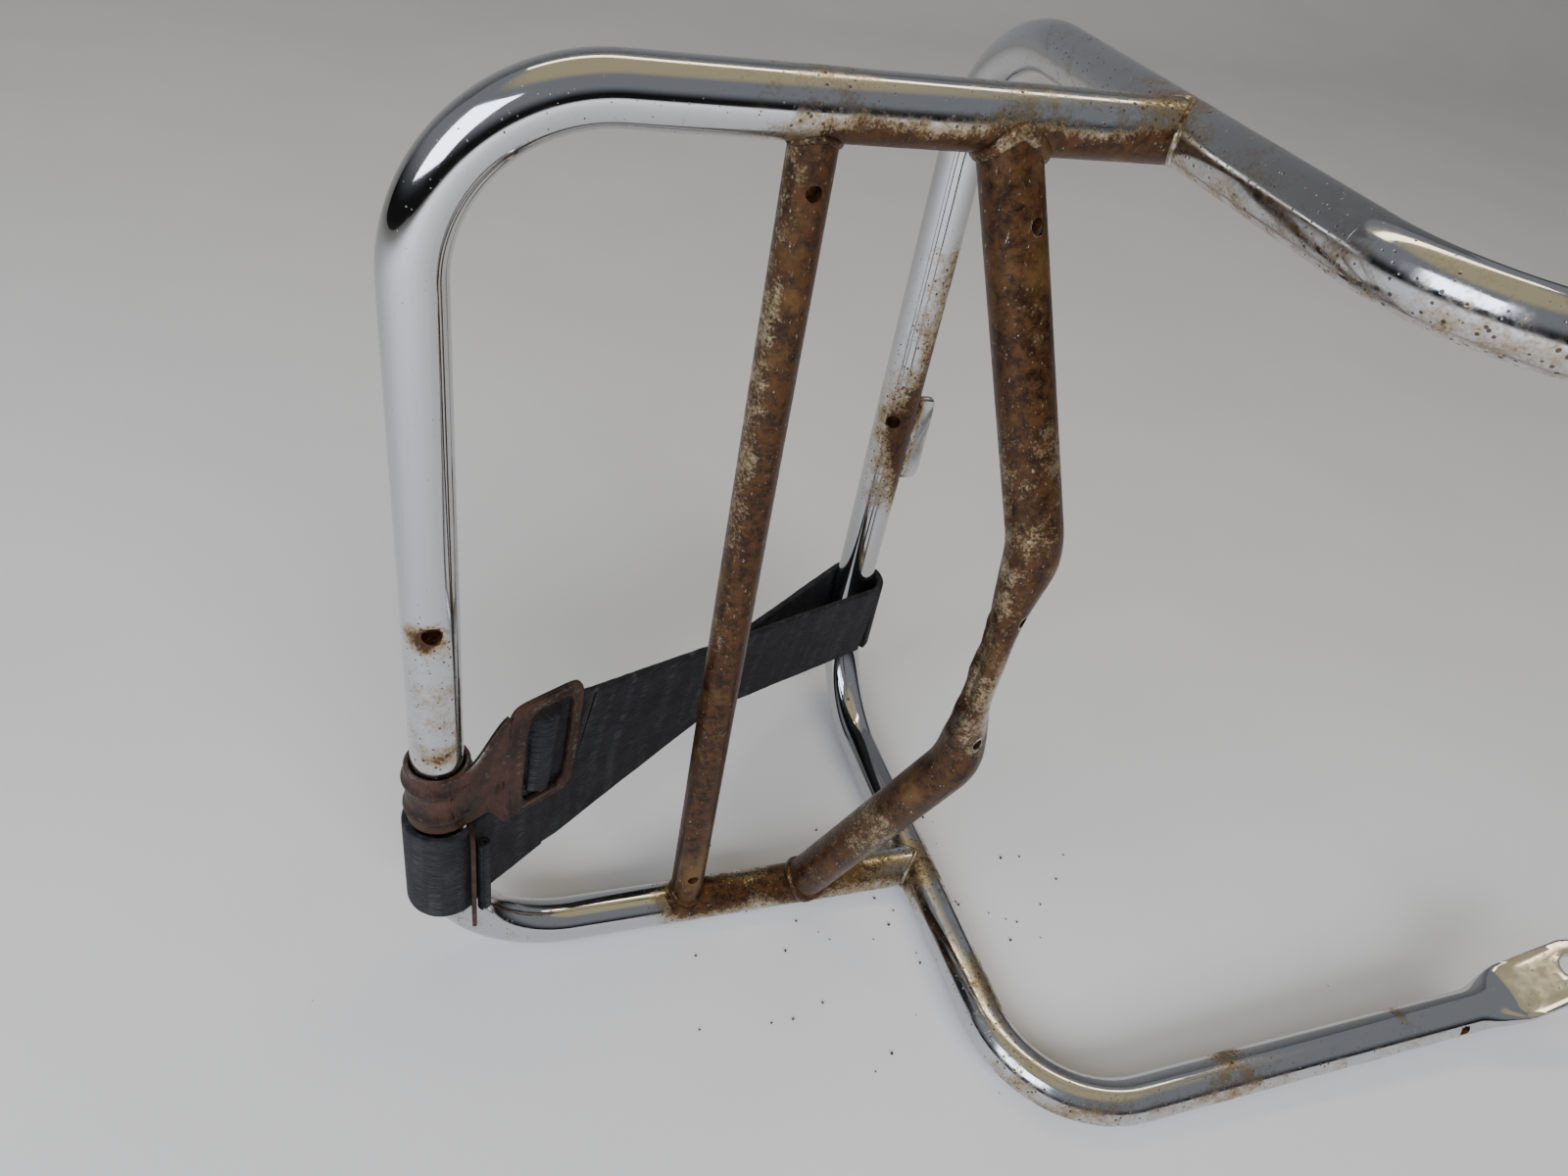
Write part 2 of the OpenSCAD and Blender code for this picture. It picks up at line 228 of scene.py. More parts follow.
def noise3(points, cell, seed):
    """Smooth value noise: random lattice values spaced cell apart, blended with smoothstep weights."""
    q = np.asarray(points, float) / cell
    base = np.floor(q).astype(np.int64)
    f = q - base
    f = f * f * (3 - 2 * f)
    total = np.zeros(q.shape[:-1])
    for dx in (0, 1):
        for dy in (0, 1):
            for dz in (0, 1):
                b = base + (dx, dy, dz)
                h = (b[..., 0] * 73856093) ^ (b[..., 1] * 19349663) ^ (b[..., 2] * 83492791)
                h = h ^ (seed * 2654435761)
                h = (h ^ (h >> 13)) * 1274126177 & 0x7FFFFFFF
                v = ((h ^ (h >> 16)) & 0xFFFFF) / float(0xFFFFF)
                total += v * (np.where(dx, f[..., 0], 1 - f[..., 0]) * np.where(dy, f[..., 1], 1 - f[..., 1])
                              * np.where(dz, f[..., 2], 1 - f[..., 2]))
    return total


def make_piece(name, grids, material, body, nodes, wear=None):
    """One object from grids of points in the rack's own frame, each (points, wrap_rows, wrap_cols).
    wear gives the piece's rust attribute from its points in millimetres."""
    verts, faces, total = [], [], 0
    for points, wrap_rows, wrap_cols in grids:
        rows, cols = points.shape[:2]
        faces.append(quads(rows, cols, wrap_rows, wrap_cols, total))
        verts.append(points.reshape(-1, 3))
        total += rows * cols
    verts, faces = np.concatenate(verts), np.concatenate(faces)
    mesh = bpy.data.meshes.new(name)
    mesh.vertices.add(len(verts))
    mesh.vertices.foreach_set("co", (verts * MM + ORIGIN).astype(np.float32).ravel())
    mesh.loops.add(faces.size)
    mesh.loops.foreach_set("vertex_index", faces.astype(np.int32).ravel())
    mesh.polygons.add(len(faces))
    mesh.polygons.foreach_set("loop_start", np.arange(0, faces.size, 4, dtype=np.int32))
    mesh.polygons.foreach_set("loop_total", np.full(len(faces), 4, np.int32))
    if wear is not None:
        attribute = mesh.attributes.new("wear", "FLOAT", "POINT")
        attribute.data.foreach_set("value", np.clip(wear(verts) * chosen().rust, 0, 1.2).astype(np.float32))
    mesh.update(calc_edges=True)
    mesh.validate()
    mesh.polygons.foreach_set("use_smooth", np.full(len(mesh.polygons), True))
    obj = bpy.data.objects.new(name, mesh)
    bpy.context.scene.collection.objects.link(obj)
    tidy_normals(obj)
    obj.data.materials.append(material)
    if nodes:
        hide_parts(*nodes)
    if body:
        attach(obj, body)
    return obj


def tidy_normals(obj, merge=1e-6):
    """Joins corners that share a place and turns all faces outwards."""
    bm = bmesh.new()
    bm.from_mesh(obj.data)
    bmesh.ops.remove_doubles(bm, verts=bm.verts, dist=merge)
    bmesh.ops.recalc_face_normals(bm, faces=bm.faces)
    bm.to_mesh(obj.data)
    bm.free()


def punch(obj, holes):
    """Cuts round pockets, each (point, direction, radius, depth) in the rack's own frame, out of an object,
    and makes their inner walls rusty."""
    for point, direction, radius, depth in holes:
        d = unit(np.array(direction, float))
        path = np.asarray(point, float) + d * np.linspace(-depth, depth, 5)[:, None]
        up = (0, 0, 1) if abs(d[2]) < 0.9 else (0, 1, 0)
        cutter = make_piece("cutter", [(capped(carried(path, up, circle(radius, 48))), False, True)],
                            obj.data.materials[0], None, (), bore_wear)
        cut = obj.modifiers.new("hole", "BOOLEAN")
        cut.operation, cut.solver, cut.object = "DIFFERENCE", "EXACT", cutter
        bpy.context.view_layer.update()
        result = bpy.data.meshes.new_from_object(obj.evaluated_get(bpy.context.evaluated_depsgraph_get()))
        obj.modifiers.clear()
        obj.data = result
        bpy.data.objects.remove(cutter)
        # the pocket's own corners lie on the cutter, under the skin: they are rusty
        co = np.empty(len(result.vertices) * 3, np.float32)
        result.vertices.foreach_get("co", co)
        offset = (co.reshape(-1, 3) - ORIGIN) / MM - np.asarray(point, float)
        inwards = offset @ d
        off_axis = np.linalg.norm(offset - inwards[:, None] * d, axis=1)
        value = np.empty(len(result.vertices), np.float32)
        result.attributes["wear"].data.foreach_get("value", value)
        value[(off_axis < radius + 0.02) & (inwards < depth + 0.02) & (inwards > -0.5)] = 1.2
        result.attributes["wear"].data.foreach_set("value", value)
    obj.data.set_sharp_from_angle(angle=math.radians(40))


def joined(shells):
    """Several closed shells of one piece as one mesh, kept in the first of them."""
    bm = bmesh.new()
    for shell in shells:
        bm.from_mesh(shell.data)
    bm.to_mesh(shells[0].data)
    bm.free()
    for shell in shells[1:]:
        bpy.data.objects.remove(shell)


# ---------------------------------------------------------------- materials

PER_M = 1000.0  # divided by a pattern's size in millimetres, it gives the pattern's scale
SMOOTH = {"interpolation_type": "SMOOTHSTEP"}
COLOUR = {"data_type": "RGBA", "out": 2}
FACTOR, COLOUR_A, COLOUR_B = 0, 6, 7


def add(tree, kind, inputs=(), out=0, **settings):
    """Adds one node with its properties, and a value or a link on each socket given, by order or by name.
    Gives back the output asked for, or the node itself where out is None."""
    node = tree.nodes.new("ShaderNode" + kind)
    for name, value in settings.items():
        setattr(node, name, value)
    for socket, value in (inputs if isinstance(inputs, dict) else dict(enumerate(inputs))).items():
        if isinstance(value, bpy.types.NodeSocket):
            tree.links.new(value, node.inputs[socket])
        else:
            node.inputs[socket].default_value = value
    return node if out is None else node.outputs[out]


def new_material(name):
    """A material with only its output, and the object's own coordinates."""
    material = bpy.data.materials.new(name)
    material.use_nodes = True
    tree = material.node_tree
    tree.nodes.clear()
    out = add(tree, "OutputMaterial", out=None)
    return material, tree, out, add(tree, "TexCoord", out="Object")


def plated_steel(name, polish=0.07, lumps=0.0):
    """Bright chrome plate over steel tube, electroplated, breaking down through pits to brown rust.
    The piece's wear attribute sets how much plate is left. Rust starts as a thin golden film that still
    shines, then turns to a brown crust with pale specks where plate flakes remain."""
    material, tree, out, place = new_material(name)
    wear = add(tree, "Attribute", out="Fac", attribute_name="wear")
    broad = add(tree, "TexNoise", {"Vector": place, "Scale": PER_M / 22.0, "Detail": 5.0, "Roughness": 0.65})
    mid = add(tree, "TexNoise", {"Vector": place, "Scale": PER_M / 5.0, "Detail": 6.0, "Roughness": 0.72})
    fine = add(tree, "TexNoise", {"Vector": place, "Scale": PER_M / 0.8, "Detail": 4.0, "Roughness": 0.6})
    # where the plate has gone: wear broken up by three sizes of noise
    edge = wear
    for pattern, share in ((broad, 0.55), (mid, 0.8), (fine, 0.5)):
        above = add(tree, "Math", [pattern, 0.5], operation="SUBTRACT")
        edge = add(tree, "Math", [above, share, edge], operation="MULTIPLY_ADD")
    rust = add(tree, "MapRange", [edge, 0.46, 0.68, 0.0, 1.0], **SMOOTH)
    bloom = add(tree, "MapRange", [edge, 0.22, 0.56, 0.0, 1.0], **SMOOTH)
    # round pits, in cells of about 1.8 mm, that grow wider with wear
    pits = add(tree, "TexVoronoi", {"Vector": place, "Scale": 560.0, "Randomness": 1.0}, out=None)
    pick = add(tree, "SeparateColor", [pits.outputs["Color"]])
    widest = add(tree, "Math", [wear, 0.9], operation="MULTIPLY")
    widest = add(tree, "Math", [widest, 0.34], operation="MINIMUM")
    reach = add(tree, "Math", [pick, widest], operation="MULTIPLY")
    rim = add(tree, "Math", [pits.outputs["Distance"], reach], operation="SUBTRACT")
    pit = add(tree, "MapRange", [rim, 0.03, -0.03, 0.0, 1.0], **SMOOTH)
    # rust's own colours: dark umber, the panel's brown, and ochre in broad patches
    tone = add(tree, "TexNoise", {"Vector": place, "Scale": PER_M / 3.2, "Detail": 6.0, "Roughness": 0.72,
                                  "Distortion": 0.4})
    brown = add(tree, "MapRange", [tone, 0.36, 0.64, 0.0, 1.0], **SMOOTH)
    ochre = add(tree, "MapRange", [broad, 0.52, 0.72, 0.0, 1.0], **SMOOTH)
    crust = add(tree, "Mix", {FACTOR: brown, COLOUR_A: srgb("#26170d"), COLOUR_B: chosen().rust_colour[:]},
                **COLOUR)
    crust = add(tree, "Mix", {FACTOR: ochre, COLOUR_A: crust, COLOUR_B: srgb("#644927")}, **COLOUR)
    # flakes of plate left on the rust, longer across the rack than along it
    drawn = add(tree, "Mapping", {"Vector": place, "Scale": (1.0, 1.0, 0.35)})
    flakes = add(tree, "TexNoise", {"Vector": drawn, "Scale": PER_M / 0.75, "Detail": 3.0, "Roughness": 0.65})
    flake = add(tree, "MapRange", [flakes, 0.635, 0.70, 0.0, 1.0], **SMOOTH)
    grouped = add(tree, "MapRange", [mid, 0.42, 0.6, 0.0, 1.0], **SMOOTH)
    flake = add(tree, "Math", [flake, grouped], operation="MULTIPLY")
    flake = add(tree, "Math", [flake, 0.7], operation="MULTIPLY")
    crust = add(tree, "Mix", {FACTOR: flake, COLOUR_A: crust, COLOUR_B: srgb("#b9b2a4")}, **COLOUR)
    gold = add(tree, "Math", [bloom, 0.85], operation="MULTIPLY")
    plate = add(tree, "Mix", {FACTOR: gold, COLOUR_A: chosen().plate_colour[:], COLOUR_B: srgb("#9c8558")},
                **COLOUR)
    open_pit = add(tree, "Math", [pit, 0.9], operation="MULTIPLY")
    cover = add(tree, "Math", [rust, open_pit], operation="MAXIMUM", use_clamp=True)
    colour = add(tree, "Mix", {FACTOR: cover, COLOUR_A: plate, COLOUR_B: crust}, **COLOUR)
    # the plate is glossy with a faint greasy film, and duller where it wears
    film = add(tree, "TexNoise", {"Vector": place, "Scale": PER_M / 7.0, "Detail": 3.0, "Roughness": 0.6})
    rough_plate = add(tree, "MapRange", [film, 0.3, 0.8, polish * 0.6, polish * 1.6], **SMOOTH)
    rough_plate = add(tree, "Math", [bloom, 0.14, rough_plate], operation="MULTIPLY_ADD")
    worn = add(tree, "MapRange", [wear, 0.10, 0.36, 0.0, 1.0], **SMOOTH)
    patchy = add(tree, "MapRange", [mid, 0.25, 0.7, 0.0, 1.0], **SMOOTH)
    dull = add(tree, "Math", [worn, patchy], operation="MULTIPLY")
    rough_plate = add(tree, "Math", [dull, 0.16, rough_plate], operation="MULTIPLY_ADD")
    rough_crust = add(tree, "MapRange", [tone, 0.3, 0.7, 0.26, 0.52], **SMOOTH)
    rough = add(tree, "Mix", {0: cover, 2: rough_plate, 3: rough_crust}, data_type="FLOAT")
    oxide = add(tree, "Math", [cover, 0.42], operation="MULTIPLY")
    metal = add(tree, "Math", [1.0, oxide], operation="SUBTRACT", use_clamp=True)
    # the crust stands up, the pits go down, and pressed or welded pieces are lumpy
    sunk = add(tree, "Math", [pit, -0.6], operation="MULTIPLY")
    crumbly = add(tree, "Math", [cover, fine], operation="MULTIPLY")
    high = add(tree, "Math", [crumbly, 0.5, sunk], operation="MULTIPLY_ADD")
    high = add(tree, "Math", [mid, lumps, high], operation="MULTIPLY_ADD")
    bump = add(tree, "Bump", {"Height": high, "Strength": 0.5, "Distance": 0.00025})
    shader = add(tree, "BsdfPrincipled", {"Base Color": colour, "Metallic": metal, "Roughness": rough,
                                          "Normal": bump})
    tree.links.new(shader, out.inputs[0])
    return material


def sheet_rust():
    """Plain steel sheet, pressed and rolled, all over fine reddish rust and rubbed grey where it is handled.
    The wear attribute is the rubbed part."""
    material, tree, out, place = new_material("rusted_sheet")
    rub = add(tree, "Attribute", out="Fac", attribute_name="wear")
    broad = add(tree, "TexNoise", {"Vector": place, "Scale": PER_M / 9.0, "Detail": 6.0, "Roughness": 0.65})
    fine = add(tree, "TexNoise", {"Vector": place, "Scale": PER_M / 1.1, "Detail": 6.0, "Roughness": 0.7})
    drawn = add(tree, "Mapping", {"Vector": place, "Scale": (0.12, 0.12, 1.0)})
    streak = add(tree, "TexNoise", {"Vector": drawn, "Scale": PER_M / 1.5, "Detail": 4.0, "Roughness": 0.6})
    edge = rub
    for pattern, share in ((fine, 1.1), (streak, 0.9)):
        above = add(tree, "Math", [pattern, 0.5], operation="SUBTRACT")
        edge = add(tree, "Math", [above, share, edge], operation="MULTIPLY_ADD")
    bare = add(tree, "MapRange", [edge, 0.48, 0.78, 0.0, 1.0], **SMOOTH)
    lit = add(tree, "MapRange", [broad, 0.35, 0.66, 0.0, 1.0], **SMOOTH)
    red = add(tree, "Mix", {FACTOR: lit, COLOUR_A: srgb("#1e1410"), COLOUR_B: chosen().sheet_colour[:]},
              **COLOUR)
    dusty = add(tree, "MapRange", [fine, 0.5, 0.75, 0.0, 1.0], **SMOOTH)
    dusty = add(tree, "Math", [dusty, 0.7], operation="MULTIPLY")
    red = add(tree, "Mix", {FACTOR: dusty, COLOUR_A: red, COLOUR_B: srgb("#5e4535")}, **COLOUR)
    colour = add(tree, "Mix", {FACTOR: bare, COLOUR_A: red, COLOUR_B: srgb("#77706a")}, **COLOUR)
    rough = add(tree, "Mix", {0: bare, 2: 0.52, 3: 0.32}, data_type="FLOAT")
    metal = add(tree, "MapRange", [bare, 0.0, 1.0, 0.38, 0.95], **SMOOTH)
    waves = add(tree, "Math", [broad, 0.5], operation="MULTIPLY")
    high = add(tree, "Math", [fine, 0.7, waves], operation="MULTIPLY_ADD")
    bump = add(tree, "Bump", {"Height": high, "Strength": 0.5, "Distance": 0.00035})
    shader = add(tree, "BsdfPrincipled", {"Base Color": colour, "Metallic": metal, "Roughness": rough,
                                          "Normal": bump})
    tree.links.new(shader, out.inputs[0])
    return material


def strap_rubber():
    """Black natural rubber with cotton cord laid in it, calendered into a band: dull, with fine lines along
    it, dusty streaks and a greyer rim. The piece's UV runs across (U) and along (V), in metres."""
    material, tree, out, place = new_material("strap_rubber")
    uv = add(tree, "UVMap")
    # cords 1.3 mm apart show as ribs
    across = add(tree, "SeparateXYZ", [uv])
    across = add(tree, "Math", [across, 2 * math.pi / 0.0013], operation="MULTIPLY")
    rib = add(tree, "Math", [across, 0.0], operation="SINE")
    rib = add(tree, "Math", [rib, 0.5, 0.5], operation="MULTIPLY_ADD")
    drawn = add(tree, "Mapping", {"Vector": uv, "Scale": (1.0, 0.12, 1.0)})
    fibre = add(tree, "TexNoise", {"Vector": drawn, "Scale": PER_M / 0.7, "Detail": 5.0, "Roughness": 0.7})
    dust = add(tree, "TexNoise", {"Vector": place, "Scale": PER_M / 11.0, "Detail": 5.0, "Roughness": 0.65})
    grain = add(tree, "TexNoise", {"Vector": place, "Scale": PER_M / 0.45, "Detail": 3.0, "Roughness": 0.6})
    edge = add(tree, "Attribute", out="Fac", attribute_name="wear")
    grey = add(tree, "MapRange", [fibre, 0.35, 0.75, 0.0, 1.0], **SMOOTH)
    dark = add(tree, "Mix", {FACTOR: grey, COLOUR_A: chosen().rubber_colour[:], COLOUR_B: srgb("#1d1d20")},
               **COLOUR)
    dusty = add(tree, "MapRange", [dust, 0.45, 0.75, 0.0, 1.0], **SMOOTH)
    dusty = add(tree, "Math", [dusty, 0.45], operation="MULTIPLY")
    dark = add(tree, "Mix", {FACTOR: dusty, COLOUR_A: dark, COLOUR_B: srgb("#2f2f32")}, **COLOUR)
    tip = add(tree, "MapRange", [fibre, 0.4, 0.7, 0.0, 1.0], **SMOOTH)
    tip = add(tree, "Math", [edge, tip], operation="MULTIPLY")
    tip = add(tree, "Math", [tip, 0.5], operation="MULTIPLY")
    dark = add(tree, "Mix", {FACTOR: tip, COLOUR_A: dark, COLOUR_B: srgb("#4c4c50")}, **COLOUR)
    rough = add(tree, "MapRange", [grain, 0.2, 0.8, 0.58, 0.86], **SMOOTH)
    high = add(tree, "Math", [fibre, 0.9, grain], operation="MULTIPLY_ADD")
    high = add(tree, "Math", [rib, 0.8, high], operation="MULTIPLY_ADD")
    bump = add(tree, "Bump", {"Height": high, "Strength": 0.8, "Distance": 0.0003})
    shader = add(tree, "BsdfPrincipled", {"Base Color": dark, "Roughness": rough, "Normal": bump,
                                          "Specular IOR Level": 0.4})
    tree.links.new(shader, out.inputs[0])
    return material


def sweep_paper():
    """A painted studio sweep: flat pale grey with a very fine tooth and a few dark specks of dirt."""
    material, tree, out, place = new_material("sweep_paper")
    tooth = add(tree, "TexNoise", {"Vector": place, "Scale": PER_M / 1.5, "Detail": 4.0, "Roughness": 0.6})
    cloud = add(tree, "TexNoise", {"Vector": place, "Scale": PER_M / 160.0, "Detail": 3.0, "Roughness": 0.5})
    # specks in about one cell in fourteen, the cells about 14 mm apart
    specks = add(tree, "TexVoronoi", {"Vector": place, "Scale": 70.0, "Randomness": 1.0}, out=None)
    pick = add(tree, "SeparateColor", [specks.outputs["Color"]])
    chosen_cell = add(tree, "Math", [pick, 0.93], operation="GREATER_THAN")
    speck = add(tree, "MapRange", [specks.outputs["Distance"], 0.035, 0.015, 0.0, 1.0], **SMOOTH)
    speck = add(tree, "Math", [speck, chosen_cell], operation="MULTIPLY")
    speck = add(tree, "Math", [speck, 0.75], operation="MULTIPLY")
    patch = add(tree, "MapRange", [cloud, 0.35, 0.65, 0.0, 1.0], **SMOOTH)
    grey = add(tree, "Mix", {FACTOR: patch, COLOUR_A: chosen().floor_colour[:], COLOUR_B: srgb("#cfcfd0")},
               **COLOUR)
    grey = add(tree, "Mix", {FACTOR: speck, COLOUR_A: grey, COLOUR_B: srgb("#5a4a3c")}, **COLOUR)
    bump = add(tree, "Bump", {"Height": tooth, "Strength": 0.12, "Distance": 0.0003})
    shader = add(tree, "BsdfPrincipled", {"Base Color": grey, "Roughness": 0.62, "Normal": bump})
    tree.links.new(shader, out.inputs[0])
    return material


_made = {}


def material(name):
    """Each of the rack's materials, made once."""
    if name not in _made:
        _made[name] = {
            "chrome_tube": lambda: plated_steel("chrome_tube", 0.07),
            "rusted_tube": lambda: plated_steel("rusted_tube", 0.16, 0.35),
            "weld": lambda: plated_steel("weld", 0.16, 0.5),
            "rusted_sheet": sheet_rust,
            "strap_rubber": strap_rubber,
            "sweep_paper": sweep_paper,
        }[name]()
    return _made[name]


# ---------------------------------------------------------------- where the plate is worn

def blob(p, centre, radii):
    """1 at centre falling to 0 about radii away, as exp(-r^2)."""
    d = (p - np.asarray(centre, float)) / np.asarray(radii, float)
    return np.exp(-(d ** 2).sum(-1))


def platform_wear(p):
    """Rust of the platform loop: under the upper side tube, in patches on the lower one, pits on the rail."""
    n = noise3(p, 14.0, 3)
    w = 0.05 + 0.06 * n
    upper = smoothstep(p[:, 2], RACK_W - 20, RACK_W - 6)
    lower = 1 - smoothstep(p[:, 2], 6, 20)
    low_face = np.clip((RACK_W + 4 - p[:, 2]) / 10, 0, 1) * np.clip((4 - p[:, 1]) / 8, 0, 1)
    w += upper * low_face * (0.10 + 0.62 * smoothstep(p[:, 0], -118, -78))
    w += upper * 0.22 * smoothstep(p[:, 0], -60, -5)
    w += lower * (0.62 * blob(p, (-62, -3, 5), (28, 9, 9)) + 0.50 * blob(p, (-92, -3, 6), (18, 8, 8)))
    w += 0.5 * blob(p, (-16, -3, 3), (22, 12, 12)) + 0.30 * blob(p, (-6, 0, RACK_W), (16, 14, 14))
    rail = 1 - smoothstep(p[:, 0], -180, -168)
    w += rail * (0.10 + 0.12 * n) * (1 - smoothstep(p[:, 2], 130, 185))
    w += 0.75 * blob(p, (-188, -8, 152), (5.5, 5, 5.0)) + 0.35 * blob(p, (-185, -8, 104), (8, 6, 5))
    w += 0.16 * blob(p, (-170, 0, 10), (26, 14, 26))
    for x in (SLAT_X, STAY_X):
        for z in (0, RACK_W):
            w += 0.40 * blob(p, (x, 0, z), (15, 12, 12))
    return w


def hoop_wear(p):
    """Rust of the hoop: a stripe on the backbone, round the side tubes' welds and on the legs."""
    n = noise3(p, 12.0, 5)
    w = 0.05 + 0.07 * n
    w += 0.62 * blob(p, (-2, -4, 2), (17, 18, 14)) + 0.40 * blob(p, (0, 0, RACK_W), (17, 16, 15))
    back = smoothstep(p[:, 1], HOOP_RISE - 14, HOOP_RISE - 4) * smoothstep(p[:, 2], 88, 120)
    w += back * (1 - smoothstep(p[:, 2], 208, 232)) * 0.55 * np.clip((p[:, 0] + 9) / 12, 0, 1)
    w += 0.45 * blob(p, (0, HOOP_RISE - 6, 142), (12, 10, 26))
    w += 0.40 * blob(p, (4, -34, RACK_W - 4), (12, 26, 12)) + 0.22 * blob(p, (0, 52, RACK_W), (12, 40, 12))
    w += 0.30 * blob(p, (14, -90, RACK_W - 3), (80, 50, 10))
    w += 0.30 * blob(p, (110, -LEG_DROP - 5, 3), (120, 7, 9))
    w += 0.62 * blob(p, (80, -LEG_DROP + 5, 4), (9, 9, 9))
    w += 0.45 * blob(p, (156, -LEG_DROP + 4, 14), (4, 6, 7))
    w += 0.50 * blob(p, (3, -62, 4), (9, 22, 10)) + 0.46 * blob(p, (16, -98, -3), (26, 20, 10))
    for z in (14, RACK_W - 14):
        w += 0.5 * blob(p, (246, -LEG_DROP - 2, z + 6), (8, 12, 14))
        w += 0.17 * blob(p, (230, -LEG_DROP, z), (18, 16, 22))
    return w


def slat_wear(p):
    """Rust of the slat: nearly all brown, thinner and golden on the side towards the rail, which is the lit
    side, so there the gold is partly a painted highlight.
    """
    # the upper half of the rail-side face, where the light falls, gets thinner golden rust: partly a painted
    # highlight
    painted_highlight_side = smoothstep(SLAT_X - p[:, 0], 1, 5) * smoothstep(p[:, 2], 90, 200)
    return 0.82 + 0.20 * (noise3(p, 24.0, 7) - 0.5) - 0.16 * painted_highlight_side


def stay_wear(p):
    """Rust of the stay: brown all over, with shinier patches by its elbows; those on its -X side, where the
    light falls, are partly thinner rust and partly a painted highlight.
    """
    # the shinier patches sit mostly on the lit -X side: partly thinner rust, partly a painted highlight
    w = 0.80 + 0.26 * (noise3(p, 20.0, 11) - 0.5) - 0.62 * blob(p, (-24, -37, 143), (6, 6, 17))
    w -= 0.34 * blob(p, (-62, -14, 210), (40, 30, 40)) * np.clip((-44 - p[:, 0]) / 16, 0, 1)
    return w - 0.22 * blob(p, (-36, -30, 180), (10, 30, 40)) - 0.16 * blob(p, (-60, -20, 60), (30, 30, 16))


def bore_wear(p):
    """Rust inside the holes and of the crumbs: all over."""
    return np.full(len(p), 1.1)


def weld_wear(p):
    """Rust of the welds: uneven."""
    return (0.50 + 0.50 * (noise3(p, 7.0, 13) - 0.5) + 0.25 * (p[:, 0] < -30)
            - 0.20 * blob(p, (-50, 0, RACK_W - 8), (12, 12, 14)))


def tab_wear(p):
    """Rust of the tab: by its weld."""
    return 0.10 + 0.5 * (1 - smoothstep(p[:, 0], 8, 13)) + 0.1 * noise3(p, 5.0, 17)


# ---------------------------------------------------------------- the steel rack

def loop_path(step):
    """The platform loop's axis: side tube, corner, rail, corner, side tube."""
    w, length, r = RACK_W, PLATFORM_L, LOOP_BEND
    x, z = (1, 0, 0), (0, 0, 1)
    parts = [line((-3, 0, 0), (r - length, 0, 0), step),
             arc((r - length, 0, r), x, z, r, -math.pi / 2, -math.pi, step),
             line((-length, 0, r), (-length, 0, w - r), step),
             arc((r - length, 0, w - r), x, z, r, math.pi, math.pi / 2, step),
             line((r - length, 0, w), (-3, 0, w), step), [(-3, 0, w)]]
    return np.concatenate(parts)


def hoop_path(step):
    """The hoop's axis from one upright over the backbone to the other."""
    # it runs 1.5 mm into the legs' bends, so that no gap is left
    w, top, r, start = RACK_W, HOOP_RISE, HOOP_BEND, LEG_BEND - LEG_DROP - 1.5
    y, z = (0, 1, 0), (0, 0, 1)
    parts = [line((0, start, 0), (0, top - r, 0), step),
             arc((0, top - r, r), y, z, r, -math.pi / 2, 0, step),
             line((0, top, r), (0, top, w - r), step),
             arc((0, top - r, w - r), y, z, r, 0, math.pi / 2, step),
             line((0, top - r, w), (0, start, w), step), [(0, start, w)]]
    return np.concatenate(parts)


def mirror_side(points):
    """The same points on the rack's other side."""
    flipped = np.array(points)
    flipped[..., 2] = RACK_W - flipped[..., 2]
    return flipped


def toe_in(points):
    """Turns a lower leg in towards the other about its upright, and lowers it to its place."""
    c, s = math.cos(-TOE_A), math.sin(-TOE_A)
    x, y, z = points[..., 0], points[..., 1], points[..., 2]
    return np.stack([x * c + z * s, y - LEG_DROP, -x * s + z * c], -1)


def lug_turn(points):
    """Folds points given along the lug to its angle from the leg, about the fold line."""
    c, s = math.cos(-LUG_A), math.sin(-LUG_A)
    x, y, z = points[..., 0], points[..., 1], points[..., 2]
    return np.stack([FOLD_X + x * c + z * s, y, 4.3 - x * s + z * c], -1)


